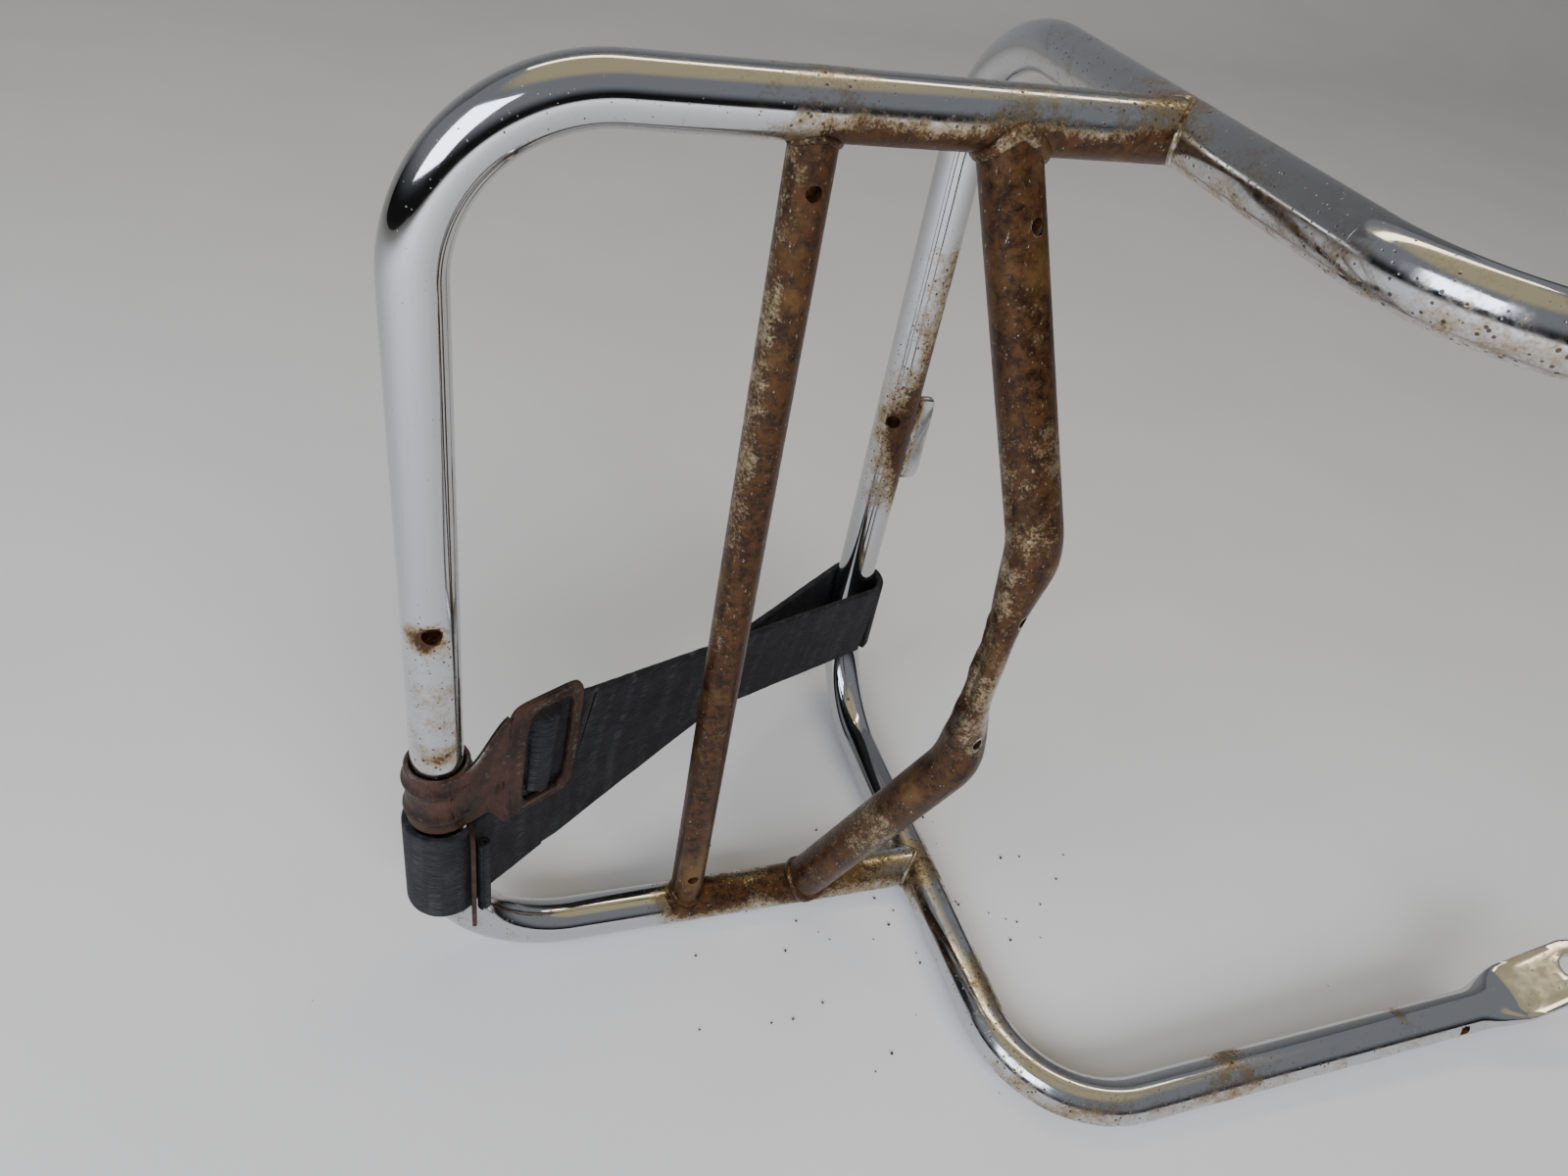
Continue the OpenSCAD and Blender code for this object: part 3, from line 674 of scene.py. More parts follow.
def leg_grids(step, count):
    """One lower leg and its lug. The leg is a circle on its axis, then a section squeezed from the circle to
    the lug's flat. The lug is rings from its bolt hole out to its rim and back, folded up from the leg."""
    r = LEG_BEND
    path = np.concatenate([arc((r, r, 0), (1, 0, 0), (0, 1, 0), r, math.pi, 1.5 * math.pi, step),
                           line((r, 0, 0), (FOLD_X - TAPER, 0, 0), step)])
    run = carried(np.append(path, [(FOLD_X - TAPER, 0, 0)], 0), (0, 0, 1), circle(TUBE_R - 0.03, count))[:-1]
    xs = np.linspace(FOLD_X - TAPER, FOLD_X + 0.4, 40)
    t = smoothstep(xs, FOLD_X - TAPER, FOLD_X + 3.0) ** 1.2
    t = t / t[-1]
    half_w, half_t = 7.97 + 3.6 * t, 7.97 + (1.6 - 7.97) * t
    ring = superellipse(half_w, half_t, 2.0 + 5.0 * t ** 3, count)
    # a shallow groove runs along the flattened part, near its lower edge
    groove = np.exp(-((ring[..., 0] / half_w[:, None] - 0.55) / 0.16) ** 2) * (ring[..., 1] > 0) * t[:, None]
    rise = 5.9 * t
    squeeze = np.stack([np.broadcast_to(xs[:, None], ring.shape[:2]), -ring[..., 0],
                        rise[:, None] + ring[..., 1] - 0.5 * groove], -1)
    # the lug's outline about its hole: round beyond it, straight-sided back to the fold
    angle = np.arange(count) * 2 * math.pi / count
    sides = LUG_HALF_W / np.maximum(np.abs(np.sin(angle)), 1e-6)
    fold = (LUG_HOLE_X + 1.5) / np.maximum(np.abs(np.cos(angle)), 1e-6)
    reach = np.where(np.cos(angle) > 0, LUG_HALF_W, np.minimum(sides, fold))
    hole, thick, rim = LUG_HOLE_R, LUG_THICK, 1.0
    # each ring: its share of the way from the hole to the outline, its shift outwards, and its height
    loop = [(0, rim * 0.6, 0.0), (0, 0.25, 0.25), (0, 0.0, rim * 0.8), (0, 0.0, thick - rim * 0.8),
            (0, 0.3, thick - 0.2), (0, rim * 0.9, thick)]
    loop += [(f, 0, thick) for f in (0.15, 0.35, 0.6, 0.85)]
    loop += [(1, -rim, thick), (1, -0.3, thick - 0.3), (1, 0.0, thick - rim), (1, 0.0, rim), (1, -0.3, 0.3),
             (1, -rim, 0.0)] + [(f, 0, 0.0) for f in (0.85, 0.6, 0.35, 0.15)]
    rings = []
    for f, shift, z in loop:
        radius = hole + (reach - hole) * f + shift
        wave = 0.25 * math.sin(f * 9.0) * (z > 1.6) if 0 < f < 1 else 0.0
        rings.append(np.stack([LUG_HOLE_X + radius * np.cos(angle), radius * np.sin(angle),
                               np.full(count, z - abs(wave) * 0.5)], -1))
    lug = lug_turn(np.array(rings))
    return capped(toe_in(np.concatenate([run, squeeze]))), toe_in(lug)


def stay_point_frame():
    """The direction of the stay's bow, and the direction square to it, in the rack's own frame."""
    c, s = math.cos(STAY_PLANE), math.sin(STAY_PLANE)
    return np.array([c, s, 0.0]), np.array([-s, c, 0.0])


def stay_grid(step, count):
    """The stay: arm, elbow, flattened middle, elbow, arm. The section is a circle squeezed along the bow's
    direction, widened square to it, dented on its outer face and twisted about the axis."""
    bow_dir, side_dir = stay_point_frame()
    z_dir = np.array([0.0, 0.0, 1.0])
    start = np.array([STAY_X, 0.0, 0.0])
    bow, half, r = STAY_BOW, MIDDLE_Z - STAY_MID, STAY_BEND
    a = math.atan2(bow, half)
    d = math.hypot(bow, half) - r * math.tan(a / 2)
    p1 = start + bow_dir * math.sin(a) * d + z_dir * math.cos(a) * d
    centre = p1 - r * (bow_dir * math.cos(a) - z_dir * math.sin(a))
    elbow = arc(centre, bow_dir, z_dir, r, -a, 0, step)
    p2 = centre + bow_dir * r
    middle = p2 * [1, 1, 0] + z_dir * MIDDLE_Z
    arm = line(start + (p1 - start) * 0.045, p1, step)
    lower = np.concatenate([arm, elbow, line(p2, middle, step), [middle]])
    path = np.concatenate([lower, mirror_side(lower[:-1])[::-1]])
    z = path[:, 2]
    flat = smoothstep(z, 104, 138) * (1 - smoothstep(z, RACK_W - 138, RACK_W - 104))
    ring = superellipse(8.0 + 1.6 * flat, 8.0 - 3.5 * flat, 2.0 + 0.4 * flat, count)
    # the first number of each pair runs along side_dir, the second along bow_dir
    outer = smoothstep(ring[..., 1], -0.2, 1.2)
    crease = ring[..., 0] + 1.2 - 0.12 * (z[:, None] - 146.0)
    depth = (smoothstep(z, 118, 134) * (1 - smoothstep(z, 156, 174)))[:, None]
    dent = depth * outer * 4.6 * np.exp(-np.abs(crease / 3.4) ** 2.6)
    place = np.stack([ring[..., 0], np.broadcast_to(z[:, None], dent.shape), dent], -1)
    dent += flat[:, None] * outer * 1.1 * (noise3(place, 5.0, 9) - 0.5)
    u, v = ring[..., 0], ring[..., 1] - dent + flat[:, None]
    twist = math.radians(24) * flat[:, None]
    turned_u, turned_v = u * np.cos(twist) - v * np.sin(twist), u * np.sin(twist) + v * np.cos(twist)
    return path[:, None] + turned_u[..., None] * side_dir + turned_v[..., None] * square_to(path, side_dir)


def square_to(path, side_dir):
    """For each ring of a planar path, the direction in its plane square to the path."""
    tangent = unit(np.gradient(path, axis=0))
    return np.cross(np.broadcast_to(side_dir, path.shape), tangent)[:, None] * -1.0


def bead(path, radius, seed, ripple=1.3):
    """A weld bead: a circle of uneven radius carried round a closed path, rippled along it."""
    path = np.asarray(path, float)
    length = np.concatenate([[0], np.cumsum(np.linalg.norm(np.diff(path, axis=0), axis=1))])
    count = 18
    up = unit(path - path.mean(0))
    ring = circle(1.0, count)
    base = carried(path, np.roll(up, 1, 1) + 0.01, ring[None] * radius, wrap=True)
    lump = 1 + 0.03 * np.sin(length * 2 * math.pi / ripple)[:, None] + 0.24 * (noise3(base, 4.0, seed) - 0.5)
    return path[:, None] + (base - path[:, None]) * lump[..., None]


def tube_meeting(direction, foot, radius, other=TUBE_R, count=120):
    """Where a round tube along direction from foot leaves the side tube lying along X: for each angle round
    the tube, the distance along it at which its surface has y^2 + z^2 = other^2."""
    d = unit(np.asarray(direction, float))
    e1 = unit(np.cross(d, (0, 1, 0)) if abs(d[1]) < 0.9 else np.cross(d, (1, 0, 0)))
    e2 = np.cross(d, e1)
    a = np.arange(count) * 2 * math.pi / count
    q = np.asarray(foot, float) + radius * (np.cos(a)[:, None] * e1 + np.sin(a)[:, None] * e2)
    qa = d[1] ** 2 + d[2] ** 2
    qb = 2 * (q[:, 1] * d[1] + q[:, 2] * d[2])
    qc = q[:, 1] ** 2 + q[:, 2] ** 2 - other ** 2
    t = (-qb + np.sqrt(np.maximum(qb ** 2 - 4 * qa * qc, 0))) / (2 * qa)
    return q + d * t[:, None]


def side_weld_path(lowest):
    """Round the end of a side tube on its upright: x = -sqrt(y^2 + 1), no lower than the number given, so the
    bead stays off the floor."""
    a = np.arange(160) * 2 * math.pi / 160
    y, z = TUBE_R * np.cos(a), TUBE_R * np.sin(a)
    return np.stack([-np.sqrt(y * y + 1.0) + 0.1, y, np.maximum(z * 0.93, lowest)], -1)


def tab_grid(count=96):
    """The tab: an outline about its middle, over a rounded rim and back."""
    a = np.arange(count) * 2 * math.pi / count
    cx, cz, hx, hz = 9.6, 136.0, 6.4, 19.0
    c, s = np.cos(a), np.sin(a)
    k = 7.0  # the outline's power: the higher, the squarer its corners
    reach = (np.abs(c / hx) ** k + np.abs(s / hz) ** k) ** (-1 / k)
    rows = []
    for f, inset, y in [(0.0, 0, 1.5), (0.5, 0, 1.5), (0.9, 0, 1.5), (1, 0.5, 1.45), (1, 0.12, 1.1),
                        (1, 0, 0.6), (1, 0, -0.6), (1, 0.12, -1.1), (1, 0.5, -1.45), (0.9, 0, -1.5),
                        (0.5, 0, -1.5), (0.0, 0, -1.5)]:
        rows.append(np.stack([cx + (reach * f - inset) * c, np.full(count, HOOP_RISE + y),
                              cz + (reach * f - inset) * s], -1))
    return np.array(rows)


# ---------------------------------------------------------------- the strap and its clip

def along_strap(s, toward, z):
    """Points given along the strap, towards the -Y side of it, and up, in the rack's own frame."""
    s, toward, z = np.broadcast_arrays(np.asarray(s, float), toward, z)
    c, d = math.cos(STRAP_A), math.sin(STRAP_A)
    return np.stack([-PLATFORM_L + s * c + toward * d, s * d - toward * c, z], -1)


def turn_points(centre, radius, a0, a1, step=0.7):
    """An arc in the strap's own plane; angle 0 is along the strap and angles grow towards the -Y side."""
    n = max(6, int(abs(a1 - a0) * radius / step))
    a = a0 + (a1 - a0) * np.arange(n) / n
    return np.stack([centre[0] + radius * np.cos(a), centre[1] + radius * np.sin(a)], -1)


def strap_grid(route, z_mid, half_w, half_t, rim=1.1, seed=21):
    """The band: a flat bar's outline carried along the route, its edges a little uneven."""
    route = np.asarray(route, float)
    path = along_strap(route[:, 0], route[:, 1], z_mid)
    n = len(path)
    section = slab_section(np.broadcast_to(half_w, n), np.broadcast_to(half_t, n),
                           np.minimum(rim, np.broadcast_to(half_t, n) * 0.85), 48)
    up = np.array([0.0, 0.0, 1.0])
    points = carried(path, up, section)
    fray = (noise3(points, 2.0, seed) - 0.5) * 0.35 + (noise3(points, 9.0, seed + 1) - 0.5) * 0.5
    edge = smoothstep(np.abs(section[..., 1]) / np.broadcast_to(half_w, n)[:, None], 0.9, 1.0)
    points = points + (edge * fray)[..., None] * np.sign(section[..., 1:]) * up
    return capped(points)


def strap_uv(obj, grid):
    """A UV in metres: across the band and along it."""
    steps = np.linalg.norm(np.diff(grid.mean(1), axis=0), axis=1)
    obj_uv = obj.data.uv_layers.new(name="band")
    co = np.empty(len(obj.data.vertices) * 3, np.float32)
    obj.data.vertices.foreach_get("co", co)
    co = co.reshape(-1, 3)
    rings = (grid * MM + ORIGIN).mean(1)
    along = np.concatenate([[0], np.cumsum(steps)]) * MM
    tree = KDTree(len(rings))
    for i, p in enumerate(rings):
        tree.insert(tuple(p * [1, 1, 0.15]), i)
    tree.balance()
    near = np.array([tree.find(tuple(p * [1, 1, 0.15]))[1] for p in co])
    loops = np.empty(len(obj.data.loops), np.int32)
    obj.data.loops.foreach_get("vertex_index", loops)
    values = np.stack([co[:, 2], along[near]], -1)[loops]
    obj_uv.data.foreach_set("uv", values.astype(np.float32).ravel())


def strap_edge_wear(p):
    """Where the rubber is frayed: its edges."""
    return 0.15 + 0.85 * (noise3(p, 3.0, 31) > 0.62)


def main_route():
    """The strap behind: a folded end by the rail, round the rail, along behind, and round the backbone."""
    turn = turn_points((0.5, 0.0), 11.0, math.radians(-22), math.radians(-305), 0.7)
    span = STRAP_SPAN
    # the rear strand sags 0.6 mm at its middle
    mid = np.linspace((8.4, 8.3), (span - 0.8, -9.7), 90)
    mid[:, 1] += -0.6 * np.sin(np.linspace(0, math.pi, 90))
    around = turn_points((span - 0.7, 1.3), 11.05, math.radians(-90), math.radians(86), 0.7)
    return np.concatenate([turn, mid, around, [(span - 0.2, 12.3)]])


def smooth_route(route, rounds=6):
    """Each point drawn to the mean of its neighbours, a few times over."""
    route = np.array(route, float)
    for _ in range(rounds):
        route[1:-1] = 0.25 * route[:-2] + 0.5 * route[1:-1] + 0.25 * route[2:]
    return route


def clip_ring_grid(count=144):
    """The clip's ring: edge, two rolled beads, edge and inner wall, as a profile turned about the rail."""
    z = np.linspace(0, 25, 90)
    out = RING_R + SHEET + 1.05 * np.exp(-((z - 6.5) / 1.7) ** 2) + 1.05 * np.exp(-((z - 18.5) / 1.7) ** 2)
    out -= 0.6 * np.exp(-(z / 0.5) ** 2) + 0.6 * np.exp(-((z - 25) / 0.5) ** 2)
    profile = np.concatenate([np.stack([out, z], -1), [(8.8, 25.0), (8.42, 24.6)],
                              [(8.42, 12.5), (8.42, 0.4), (8.8, 0.0)]])
    a = np.arange(count) * 2 * math.pi / count
    wobble = 0.12 * np.sin(2 * a + 0.7)[:, None]
    r = profile[None, :, 0] + wobble * (profile[None, :, 0] > 9.5)
    up = RING_Z + np.broadcast_to(profile[:, 1], r.shape)
    return along_strap(r * np.cos(a)[:, None], r * np.sin(a)[:, None], up)


def clip_plate_grid(count=160):
    """The clip's frame round its window: outline and window about the window's middle, with raised rims."""
    a = np.arange(count) * 2 * math.pi / count
    c, s = np.cos(a), np.sin(a)

    def reach(hx, hz, k):
        """How far |x / hx|^k + |z / hz|^k = 1 lies from the middle, for each angle."""
        return (np.abs(c / hx) ** k + np.abs(s / hz) ** k) ** (-1 / k)
    window, outline = reach(9.0, 20.5, 6.0), reach(15.0, 25.0, 7.0)
    shift = -2.0
    rows = []
    face, back = 10.0, 8.4
    for f, lift in [(0.0, -1.2), (0.02, -0.35), (0.08, 0.35), (0.2, 0.3), (0.4, 0.0), (0.6, -0.05),
                    (0.8, 0.05), (0.92, 0.1), (0.985, -0.15), (1.0, -0.7)]:
        x = window * c * (1 - f) + (outline * c + shift) * f
        z = window * s * (1 - f) + outline * s * f
        rows.append((x, z, np.full(count, face + lift)))
    for f in (1.0, 0.8, 0.5, 0.2, 0.0):
        x = window * c * (1 - f) + (outline * c + shift) * f
        z = window * s * (1 - f) + outline * s * f
        rows.append((x, z, np.full(count, back)))
    grid = []
    for x, z, o in rows:
        xs = WINDOW[0] + x * math.cos(TILT) + z * math.sin(TILT)
        zs = WINDOW[1] - x * math.sin(TILT) + z * math.cos(TILT)
        grid.append(along_strap(xs, o, zs))
    return np.array(grid)


def clip_neck_grid(rows=40, cols=48):
    """The clip's neck: ruled from a line on the ring to the frame's edge, its lower and upper edges curved,
    leaving the ring along its tangent and with a shallow hollow along the middle."""
    t = np.linspace(0, 1, rows)[:, None]
    v = np.linspace(0, 1, cols)[None, :]
    s = -2.0 + 22.0 * t + 0 * v
    low = RING_Z + 0.6 - (12.5 * smoothstep(t, 0.55, 1.0))
    high = RING_Z + 24.2 + 13.5 * smoothstep(t, 0.25, 1.05)
    z = low + (high - low) * v
    ring_out = np.sqrt(np.maximum(100.0 - np.minimum(s, 0) ** 2, 1))
    hollow = 0.5 * np.sin(math.pi * v) * smoothstep(t, 0.2, 0.6) * (1 - smoothstep(t, 0.8, 1.0))
    rolled = 0.7 * (np.exp(-(v / 0.06) ** 2) + np.exp(-((1 - v) / 0.06) ** 2)) * smoothstep(t, 0.05, 0.3)
    beads = 0.95 * (np.exp(-((z - RING_Z - 6.5) / 1.7) ** 2) + np.exp(-((z - RING_Z - 18.5) / 1.7) ** 2))
    top = ring_out - hollow + rolled * 0.4 + beads * (1 - smoothstep(t, 0.05, 0.35))
    # a small round pit pressed in near the frame
    top = top - 1.0 * np.exp(-(((s - 17.0) ** 2 + (z - 78.0) ** 2) / 3.2))
    bottom = np.full(s.shape, 8.42)
    return np.concatenate([along_strap(s, top, z), along_strap(s, bottom, z)[:, ::-1]], 1)


def clip_wear(p):
    """Where the clip is rubbed grey: round its window, on the ring's upper lip, along the neck's ridges."""
    s = (p[:, 0] + PLATFORM_L) * math.cos(STRAP_A) + p[:, 1] * math.sin(STRAP_A)
    z = p[:, 2]
    dx, dz = np.abs(s - WINDOW[0]) / 11.5, np.abs(z - WINDOW[1]) / 23.0
    frame_edge = np.exp(-((np.maximum(dx, dz) - 0.98) / 0.16) ** 2)
    lip = smoothstep(z, RING_Z + 22.5, RING_Z + 25.2) * (1 - smoothstep(s, 6, 14))
    neck = np.exp(-((z - 84 - 0.35 * s) / 3.5) ** 2) * smoothstep(s, 2, 8) * (1 - smoothstep(s, 18, 24))
    neck2 = np.exp(-((z - 94 - 0.5 * s) / 2.5) ** 2) * smoothstep(s, 2, 8) * (1 - smoothstep(s, 18, 24))
    return 0.14 + 0.34 * frame_edge + 0.42 * lip + 0.30 * neck + 0.30 * neck2


# ---------------------------------------------------------------- operators

class RACK_OT_tubes(bpy.types.Operator):
    """Builds the platform loop, the hoop with its legs and lugs, the slat and the bowed stay"""
    bl_idname = "rack.tubes"
    bl_label = "Rack tubes"

    def execute(self, context):
        settings = context.scene.rack_settings
        step, count = settings.ring_step / MM, settings.around
        loop = carried(loop_path(step), (0, 1, 0), circle(TUBE_R, count))
        hoop = carried(hoop_path(step), (1, 0, 0), circle(TUBE_R, count))
        slat = carried(line((SLAT_X, 0, 3), (SLAT_X, 0, RACK_W - 3), step), (0, 1, 0), circle(SLAT_R, count))
        leg, lug = leg_grids(step, count)
        back = np.array([-0.5, -0.866, 0.0])
        backbone_spot = np.array([0, HOOP_RISE, MIDDLE_Z]) + TUBE_R * back
        vent = toe_in(np.array([184.0, -TUBE_R, 2.0]))
        up = (0, 1, 0)
        bow_dir, side_dir = stay_point_frame()
        crush = np.array([STAY_X, 0.0, 0.0]) + (STAY_BOW + 4.5) * bow_dir - 3.6 * side_dir
        inward = -0.85 * bow_dir + 0.53 * side_dir
        # each shell: its grid, whether its rows wrap, and its holes
        # each hole is a pocket: a point on the skin, the way in, its radius and its depth
        tubes = [
            ("platform_tube", "chrome_tube", "platform_loop", platform_wear,
             [(capped(loop), False, [((-PLATFORM_L, -TUBE_R, RAIL_HOLE_Z), up) + BOLT_HOLE])]),
            ("hoop_tube", "chrome_tube", "hoop_and_legs", hoop_wear,
             [(capped(hoop), False, [(backbone_spot, -back) + BOLT_HOLE]),
              (leg, False, [(vent, up) + VENT_HOLE]), (lug, True, []),
              (mirror_side(leg), False, [(mirror_side(vent), up) + VENT_HOLE]),
              (mirror_side(lug), True, [])]),
            ("slat", "rusted_tube", "slat_tube", slat_wear,
             [(capped(slat), False, [((SLAT_X, -SLAT_R, z), up) + VENT_HOLE for z in (20, RACK_W - 18)])]),
            ("stay", "rusted_tube", "bowed_stay", stay_wear,
             [(capped(stay_grid(step, count)), False,
               [((-42.6, -13.4, 276), (-0.35, 0.94, 0)) + VENT_HOLE,
                (crush + [0, 0, 170], inward) + CRUSH_HOLE, (crush + [0, 0, 119], inward) + CRUSH_HOLE])]),
        ]
        for name, finish, node, wear, parts in tubes:
            shells = []
            for grid, wrap, holes in parts:
                body, nodes = (None, ()) if shells else ("rack", (node,))
                shells.append(make_piece(name, [(grid, wrap, True)], material(finish), body, nodes, wear))
                punch(shells[-1], holes)
            joined(shells)
        return {"FINISHED"}


class RACK_OT_welds(bpy.types.Operator):
    """Builds the backbone's tab and all the weld beads"""
    bl_idname = "rack.welds"
    bl_label = "Welds and tab"

    def execute(self, context):
        settings = context.scene.rack_settings
        bow_dir, _ = stay_point_frame()
        a = math.atan2(STAY_BOW, MIDDLE_Z - STAY_MID)
        arm = bow_dir * math.sin(a) + np.array([0, 0, math.cos(a)])
        beads = {
            "weld_loop": (side_weld_path(-6.9), side_weld_path(-TUBE_R), 1.0, 41),
            "weld_slat": (tube_meeting((0, 0, 1), (SLAT_X, 0, 0), 5.7),) * 2 + (1.2, 43),
            "weld_stay": (tube_meeting(arm, (STAY_X, 0, 0), 7.5),) * 2 + (1.9, 47),
        }
        for name, (low_path, high_path, radius, seed) in beads.items():
            radius *= settings.weld_size
            grid = bead(low_path, radius, seed)
            other = mirror_side(bead(high_path, radius * (1.15 if "stay" in name else 1.0), seed + 2))
            for node, points in ((name + "_lower", grid), (name + "_upper", other)):
                make_piece(node + "_bead", [(points, True, True)], material("weld"), "rack", (node,),
                           weld_wear)
        make_piece("tab", [(tab_grid(), False, True)], material("chrome_tube"), "rack", ("backbone_tab",),
                   tab_wear)
        runs = []
        for side in (-1, 1):
            z = np.linspace(120, 152, 60)
            path = np.stack([np.full(60, 8.1), np.full(60, HOOP_RISE + side * 2.3), z], -1)
            ring = circle(1.5, 16)
            points = carried(path, (0, 1, 0), ring)
            lumps = 1 + 0.3 * (noise3(points, 2.0, 61) - 0.5)
            points = path[:, None] + (points - path[:, None]) * lumps[..., None]
            runs.append((capped(points), False, True))
        make_piece("tab_weld_bead", runs, material("weld"), "rack", ("weld_tab",), weld_wear)
        return {"FINISHED"}


class RACK_OT_strap(bpy.types.Operator):
    """Builds the rubber strap: its turns and rear strand, and the front strand that follows the clip"""
    bl_idname = "rack.strap"
    bl_label = "Rubber strap"

    def execute(self, context):
        settings = context.scene.rack_settings
        route = smooth_route(main_route())
        near = 1 - smoothstep(np.arange(len(route)), 70, 150)
        near = near * (route[:, 0] < 40)
        half = settings.strap_width / MM / 2
        grid = strap_grid(route, STRAP_Z + 2.5 * near, half + 2.5 * near, 1.45)
        band = make_piece("strap_band", [(grid, False, True)], material("strap_rubber"), "strap",
                          ("rubber_strap",), strap_edge_wear)
        strap_uv(band, grid)
        # the strap's end beside the rail is rolled up in a spiral of 1.35 turns
        x, y = -PLATFORM_L + 12.9, -9.4
        k = np.linspace(0, 1, 60)
        a = k * 2 * math.pi * 1.35 + 2.2
        radius = 0.75 + 1.1 * k
        path = np.stack([x + radius * np.cos(a), y + radius * np.sin(a), np.full(60, STRAP_Z)], -1)
        section = slab_section(np.full(60, half - 0.2), np.full(60, 0.75), np.full(60, 0.6), 40)
        fold = make_piece("strap_fold", [(capped(carried(path, (0, 0, 1), section)), False, True)],
                          material("strap_rubber"), "strap", (), strap_edge_wear)
        strap_uv(fold, carried(path, (0, 0, 1), section))
        # the front strand climbs to the clip and swells to fill its window
        s = np.concatenate([np.linspace(STRAP_SPAN - 1.0, 52, 140), np.linspace(52, 28.6, 60)[1:]])
        toward = np.interp(s, [29, 36, 50, STRAP_SPAN], [6.2, 6.2, 6.7, 12.3])
        z = STRAP_Z + 33.5 * np.clip((STRAP_SPAN - 1.0 - s) / (STRAP_SPAN - 51.0), 0, 1)
        z = z + np.interp(s, [29, 52], [3.0, 0.0])
        bulge = smoothstep(-s, -50, -40)
        half_t = np.maximum(1.4, 5.5 * np.sqrt(np.clip(1 - ((34.0 - s) / 5.6) ** 2, 0.03, 1)))
        half_w = half - 0.6 * bulge - 0.8 * (s < 33)
        front = strap_grid(np.stack([s, toward], -1), z, half_w, half_t, 1.2, 33)
        strand = make_piece("strap_front", [(front, False, True)], material("strap_rubber"), None,
                            ("strap_eye",), strap_edge_wear)
        strap_uv(strand, front)
        points = along_strap([150.0, 53.0], [9.5, 6.8], [60.0, 80.0]) * MM + ORIGIN
        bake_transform(strand)
        return {"FINISHED"}


class RACK_OT_clip(bpy.types.Operator):
    """Builds the sheet-steel clip and finishes the keeper"""
    bl_idname = "rack.clip"
    bl_label = "Clip and keeper"

    def execute(self, context):
        grids = [(clip_ring_grid(), True, True), (capped(clip_neck_grid()), False, True),
                 (clip_plate_grid(), True, True)]
        make_piece("clip", grids, material("rusted_sheet"), "clip", ("strap_clip",), clip_wear)
        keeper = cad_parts["strap_keeper"]
        keeper.data.materials.clear()
        keeper.data.materials.append(material("rusted_sheet"))
        edge = keeper.modifiers.new("edge", "BEVEL")
        edge.width, edge.segments, edge.limit_method = 0.0003, 2, "ANGLE"
        return {"FINISHED"}


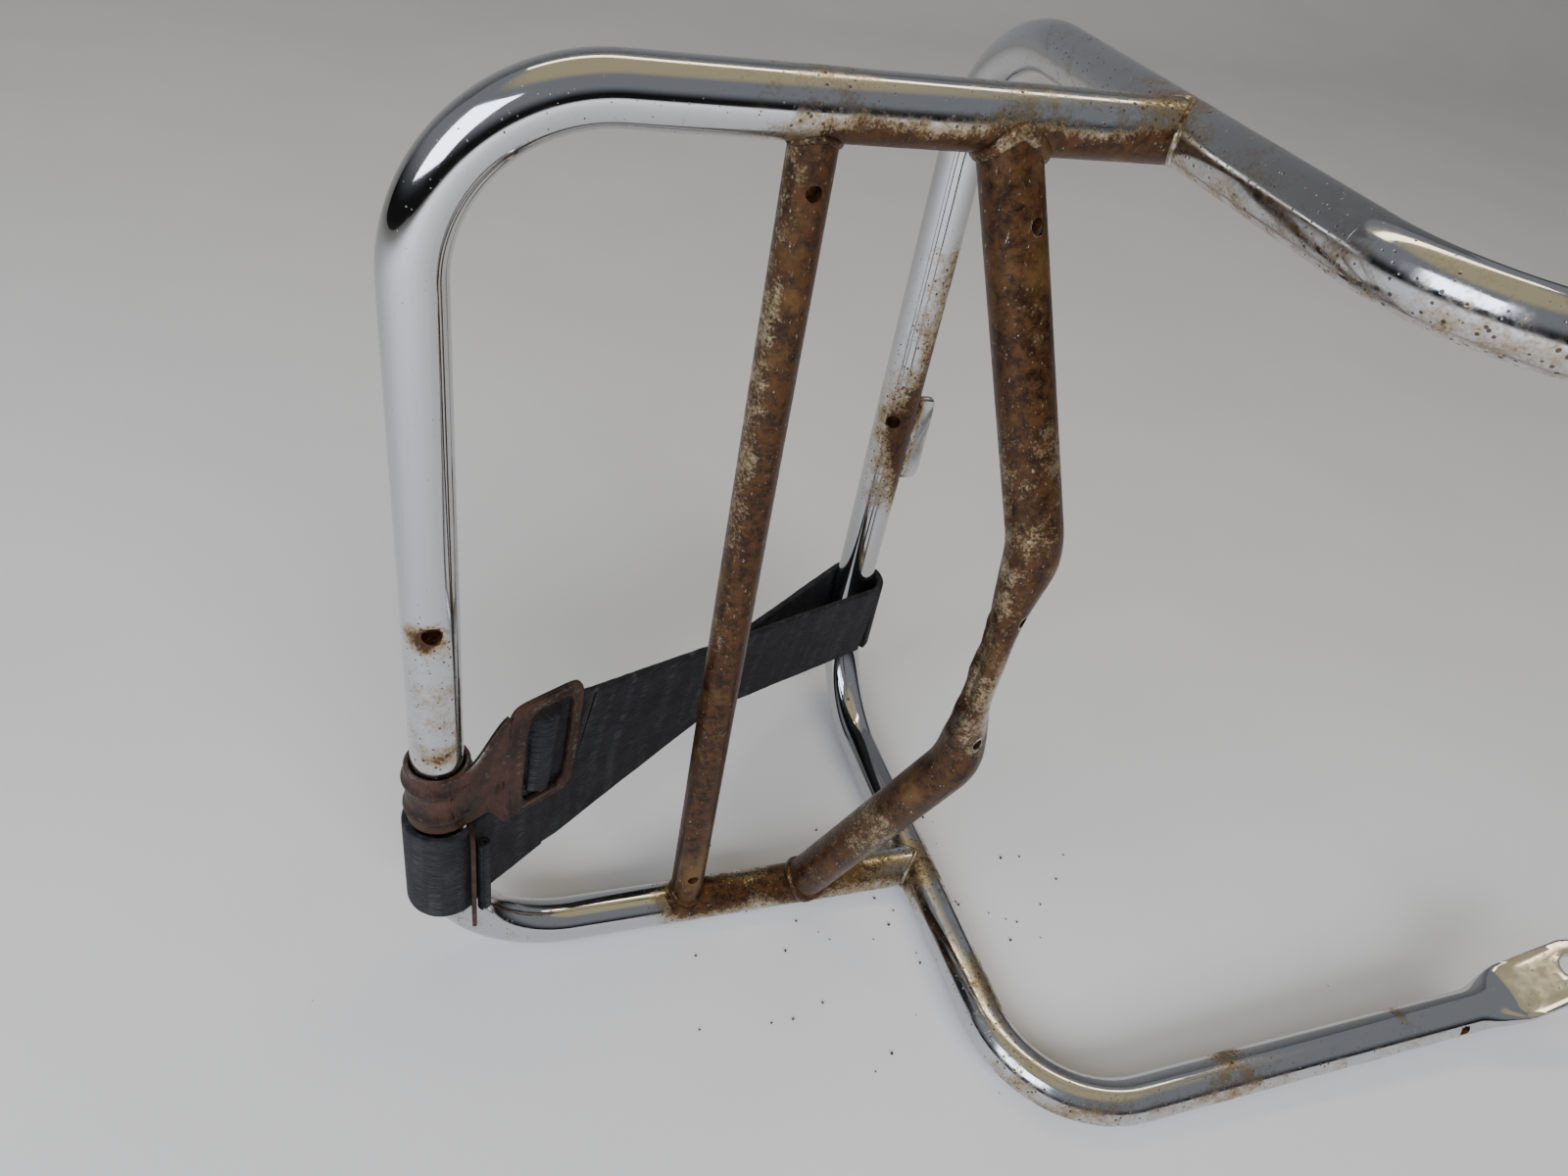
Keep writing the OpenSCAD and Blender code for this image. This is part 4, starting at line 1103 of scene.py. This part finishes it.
class RACK_OT_stage(bpy.types.Operator):
    """Builds the sweep, the lights and the camera"""
    bl_idname = "rack.stage"
    bl_label = "Stage"

    def execute(self, context):
        # a flat floor that curves up into a wall behind
        a = np.linspace(0, math.pi / 2, 30)[1:]
        y = np.concatenate([np.linspace(-2.2, 1.4, 60), 1.4 + 0.9 * np.sin(a)])
        z = np.concatenate([np.zeros(60), 0.9 * (1 - np.cos(a))])
        y, z = np.append(y, 2.3), np.append(z, 3.2)
        x = np.linspace(-3.0, 3.0, 40)
        points = np.stack([np.broadcast_to(x, (len(y), 40)), np.broadcast_to(y[:, None], (len(y), 40)),
                           np.broadcast_to(z[:, None], (len(y), 40))], -1)
        points = (points - ORIGIN) / MM
        floor = make_piece("sweep", [(points, False, False)], material("sweep_paper"), None, ())
        rng = np.random.default_rng(8)
        crumbs = []
        for spot in rng.normal((-0.040, -0.014), (0.036, 0.028), (46, 2)):
            size = rng.uniform(0.2, 0.55)
            height = np.array([-1.0, -0.3, 0.5, 1.0])[:, None] * size
            a = np.arange(7) * 2 * math.pi / 7
            ring = size * np.array([0.5, 1.1, 0.9, 0.3])[:, None] * rng.uniform(0.6, 1.3, 7)
            height = np.broadcast_to(height + size, ring.shape)
            crumb = np.stack([ring * np.cos(a), ring * np.sin(a), height], -1)
            crumbs.append((capped(crumb + (np.append(spot, 0.0) - ORIGIN) / MM, 1), False, True))
        debris = make_piece("rust_crumbs", crumbs, material("rusted_tube"), None, (), bore_wear)
        lamps = [("window_light", (-1.1, -0.6, 0.9), (0, 0, 0.0), (0.9, 0.8), 15.0, "#e6efff", True),
                 ("front_light", (-0.25, -1.45, 0.8), (-0.1, -0.2, 0.0), (1.8, 0.6), 37.0, "#fbfbff", False),
                 ("top_light", (0.1, 0.5, 1.5), (0, 0, 0.1), (1.6, 0.16), 4.0, "#ffeecb", True)]
        for name, place, aim, size, power, colour, mirrored in lamps:
            light = bpy.data.lights.new(name, "AREA")
            light.shape, light.size, light.size_y = "RECTANGLE", size[0], size[1]
            light.energy, light.color = power, srgb(colour)[:3]
            lamp = bpy.data.objects.new(name, light)
            away = np.array(place) - np.array(aim)
            lamp.location = place
            lamp.visible_glossy = mirrored
            yaw, pitch = math.atan2(away[0], -away[1]), math.atan2(math.hypot(away[0], away[1]), away[2])
            lamp.rotation_euler = (pitch, 0.0, yaw)
            bpy.context.scene.collection.objects.link(lamp)
        world = bpy.data.worlds.new("studio")
        bpy.context.scene.world = world
        world.use_nodes = True
        tree = world.node_tree
        tree.nodes.clear()
        out = add(tree, "OutputWorld", out=None)
        # dark round the horizon, grey above, and a warm patch overhead
        height = add(tree, "SeparateXYZ", [add(tree, "TexCoord", out="Generated")], out=2)
        rise = add(tree, "MapRange", [height, 0.05, 0.45, 0.0, 1.0], **SMOOTH)
        sky = add(tree, "Mix", {FACTOR: rise, COLOUR_A: srgb("#232323"), COLOUR_B: srgb("#9a9da3")}, **COLOUR)
        overhead = add(tree, "MapRange", [height, 0.80, 0.93, 0.0, 1.0], **SMOOTH)
        sky = add(tree, "Mix", {FACTOR: overhead, COLOUR_A: sky, COLOUR_B: srgb("#d8cba4")}, **COLOUR)
        glow = add(tree, "Background", {"Color": sky, "Strength": 0.8})
        tree.links.new(glow, out.inputs[0])
        lens = bpy.data.cameras.new("camera")
        lens.sensor_fit, lens.sensor_width, lens.lens = "HORIZONTAL", 36.0, 25.845
        lens.clip_start, lens.clip_end = 0.01, 20.0
        camera = bpy.data.objects.new("camera", lens)
        camera.location = (-0.218454, -0.243827, 0.375470)
        camera.rotation_euler = Euler([math.radians(v) for v in (51.00476, -9.02445, -16.88435)])
        bpy.context.scene.collection.objects.link(camera)
        bpy.context.scene.camera = camera
        return {"FINISHED"}


class RACK_PT_panel(bpy.types.Panel):
    """The rack's settings and build buttons"""
    bl_idname = "RACK_PT_panel"
    bl_label = "Luggage rack"
    bl_space_type = "VIEW_3D"
    bl_region_type = "UI"
    bl_category = "Rack"

    def draw(self, context):
        for name in RackSettings.__annotations__:
            self.layout.prop(context.scene.rack_settings, name)
        for operator in BUILDERS:
            self.layout.operator(operator.bl_idname)


BUILDERS = (RACK_OT_tubes, RACK_OT_welds, RACK_OT_strap, RACK_OT_clip, RACK_OT_stage)
CLASSES = (RackSettings,) + BUILDERS + (RACK_PT_panel,)


def register():
    """Registers the classes and puts the settings on the scene."""
    for item in CLASSES:
        bpy.utils.register_class(item)
    bpy.types.Scene.rack_settings = bpy.props.PointerProperty(type=RackSettings)


def unregister():
    """Takes the settings off the scene and unregisters the classes."""
    del bpy.types.Scene.rack_settings
    for item in reversed(CLASSES):
        bpy.utils.unregister_class(item)


def main():
    """Builds every piece and the stage."""
    register()
    for name in ("tubes", "welds", "strap", "clip", "stage"):
        if getattr(bpy.ops.rack, name)() != {"FINISHED"}:
            raise RuntimeError(f"rack.{name} did not finish")


if __name__ == "__main__":
    main()
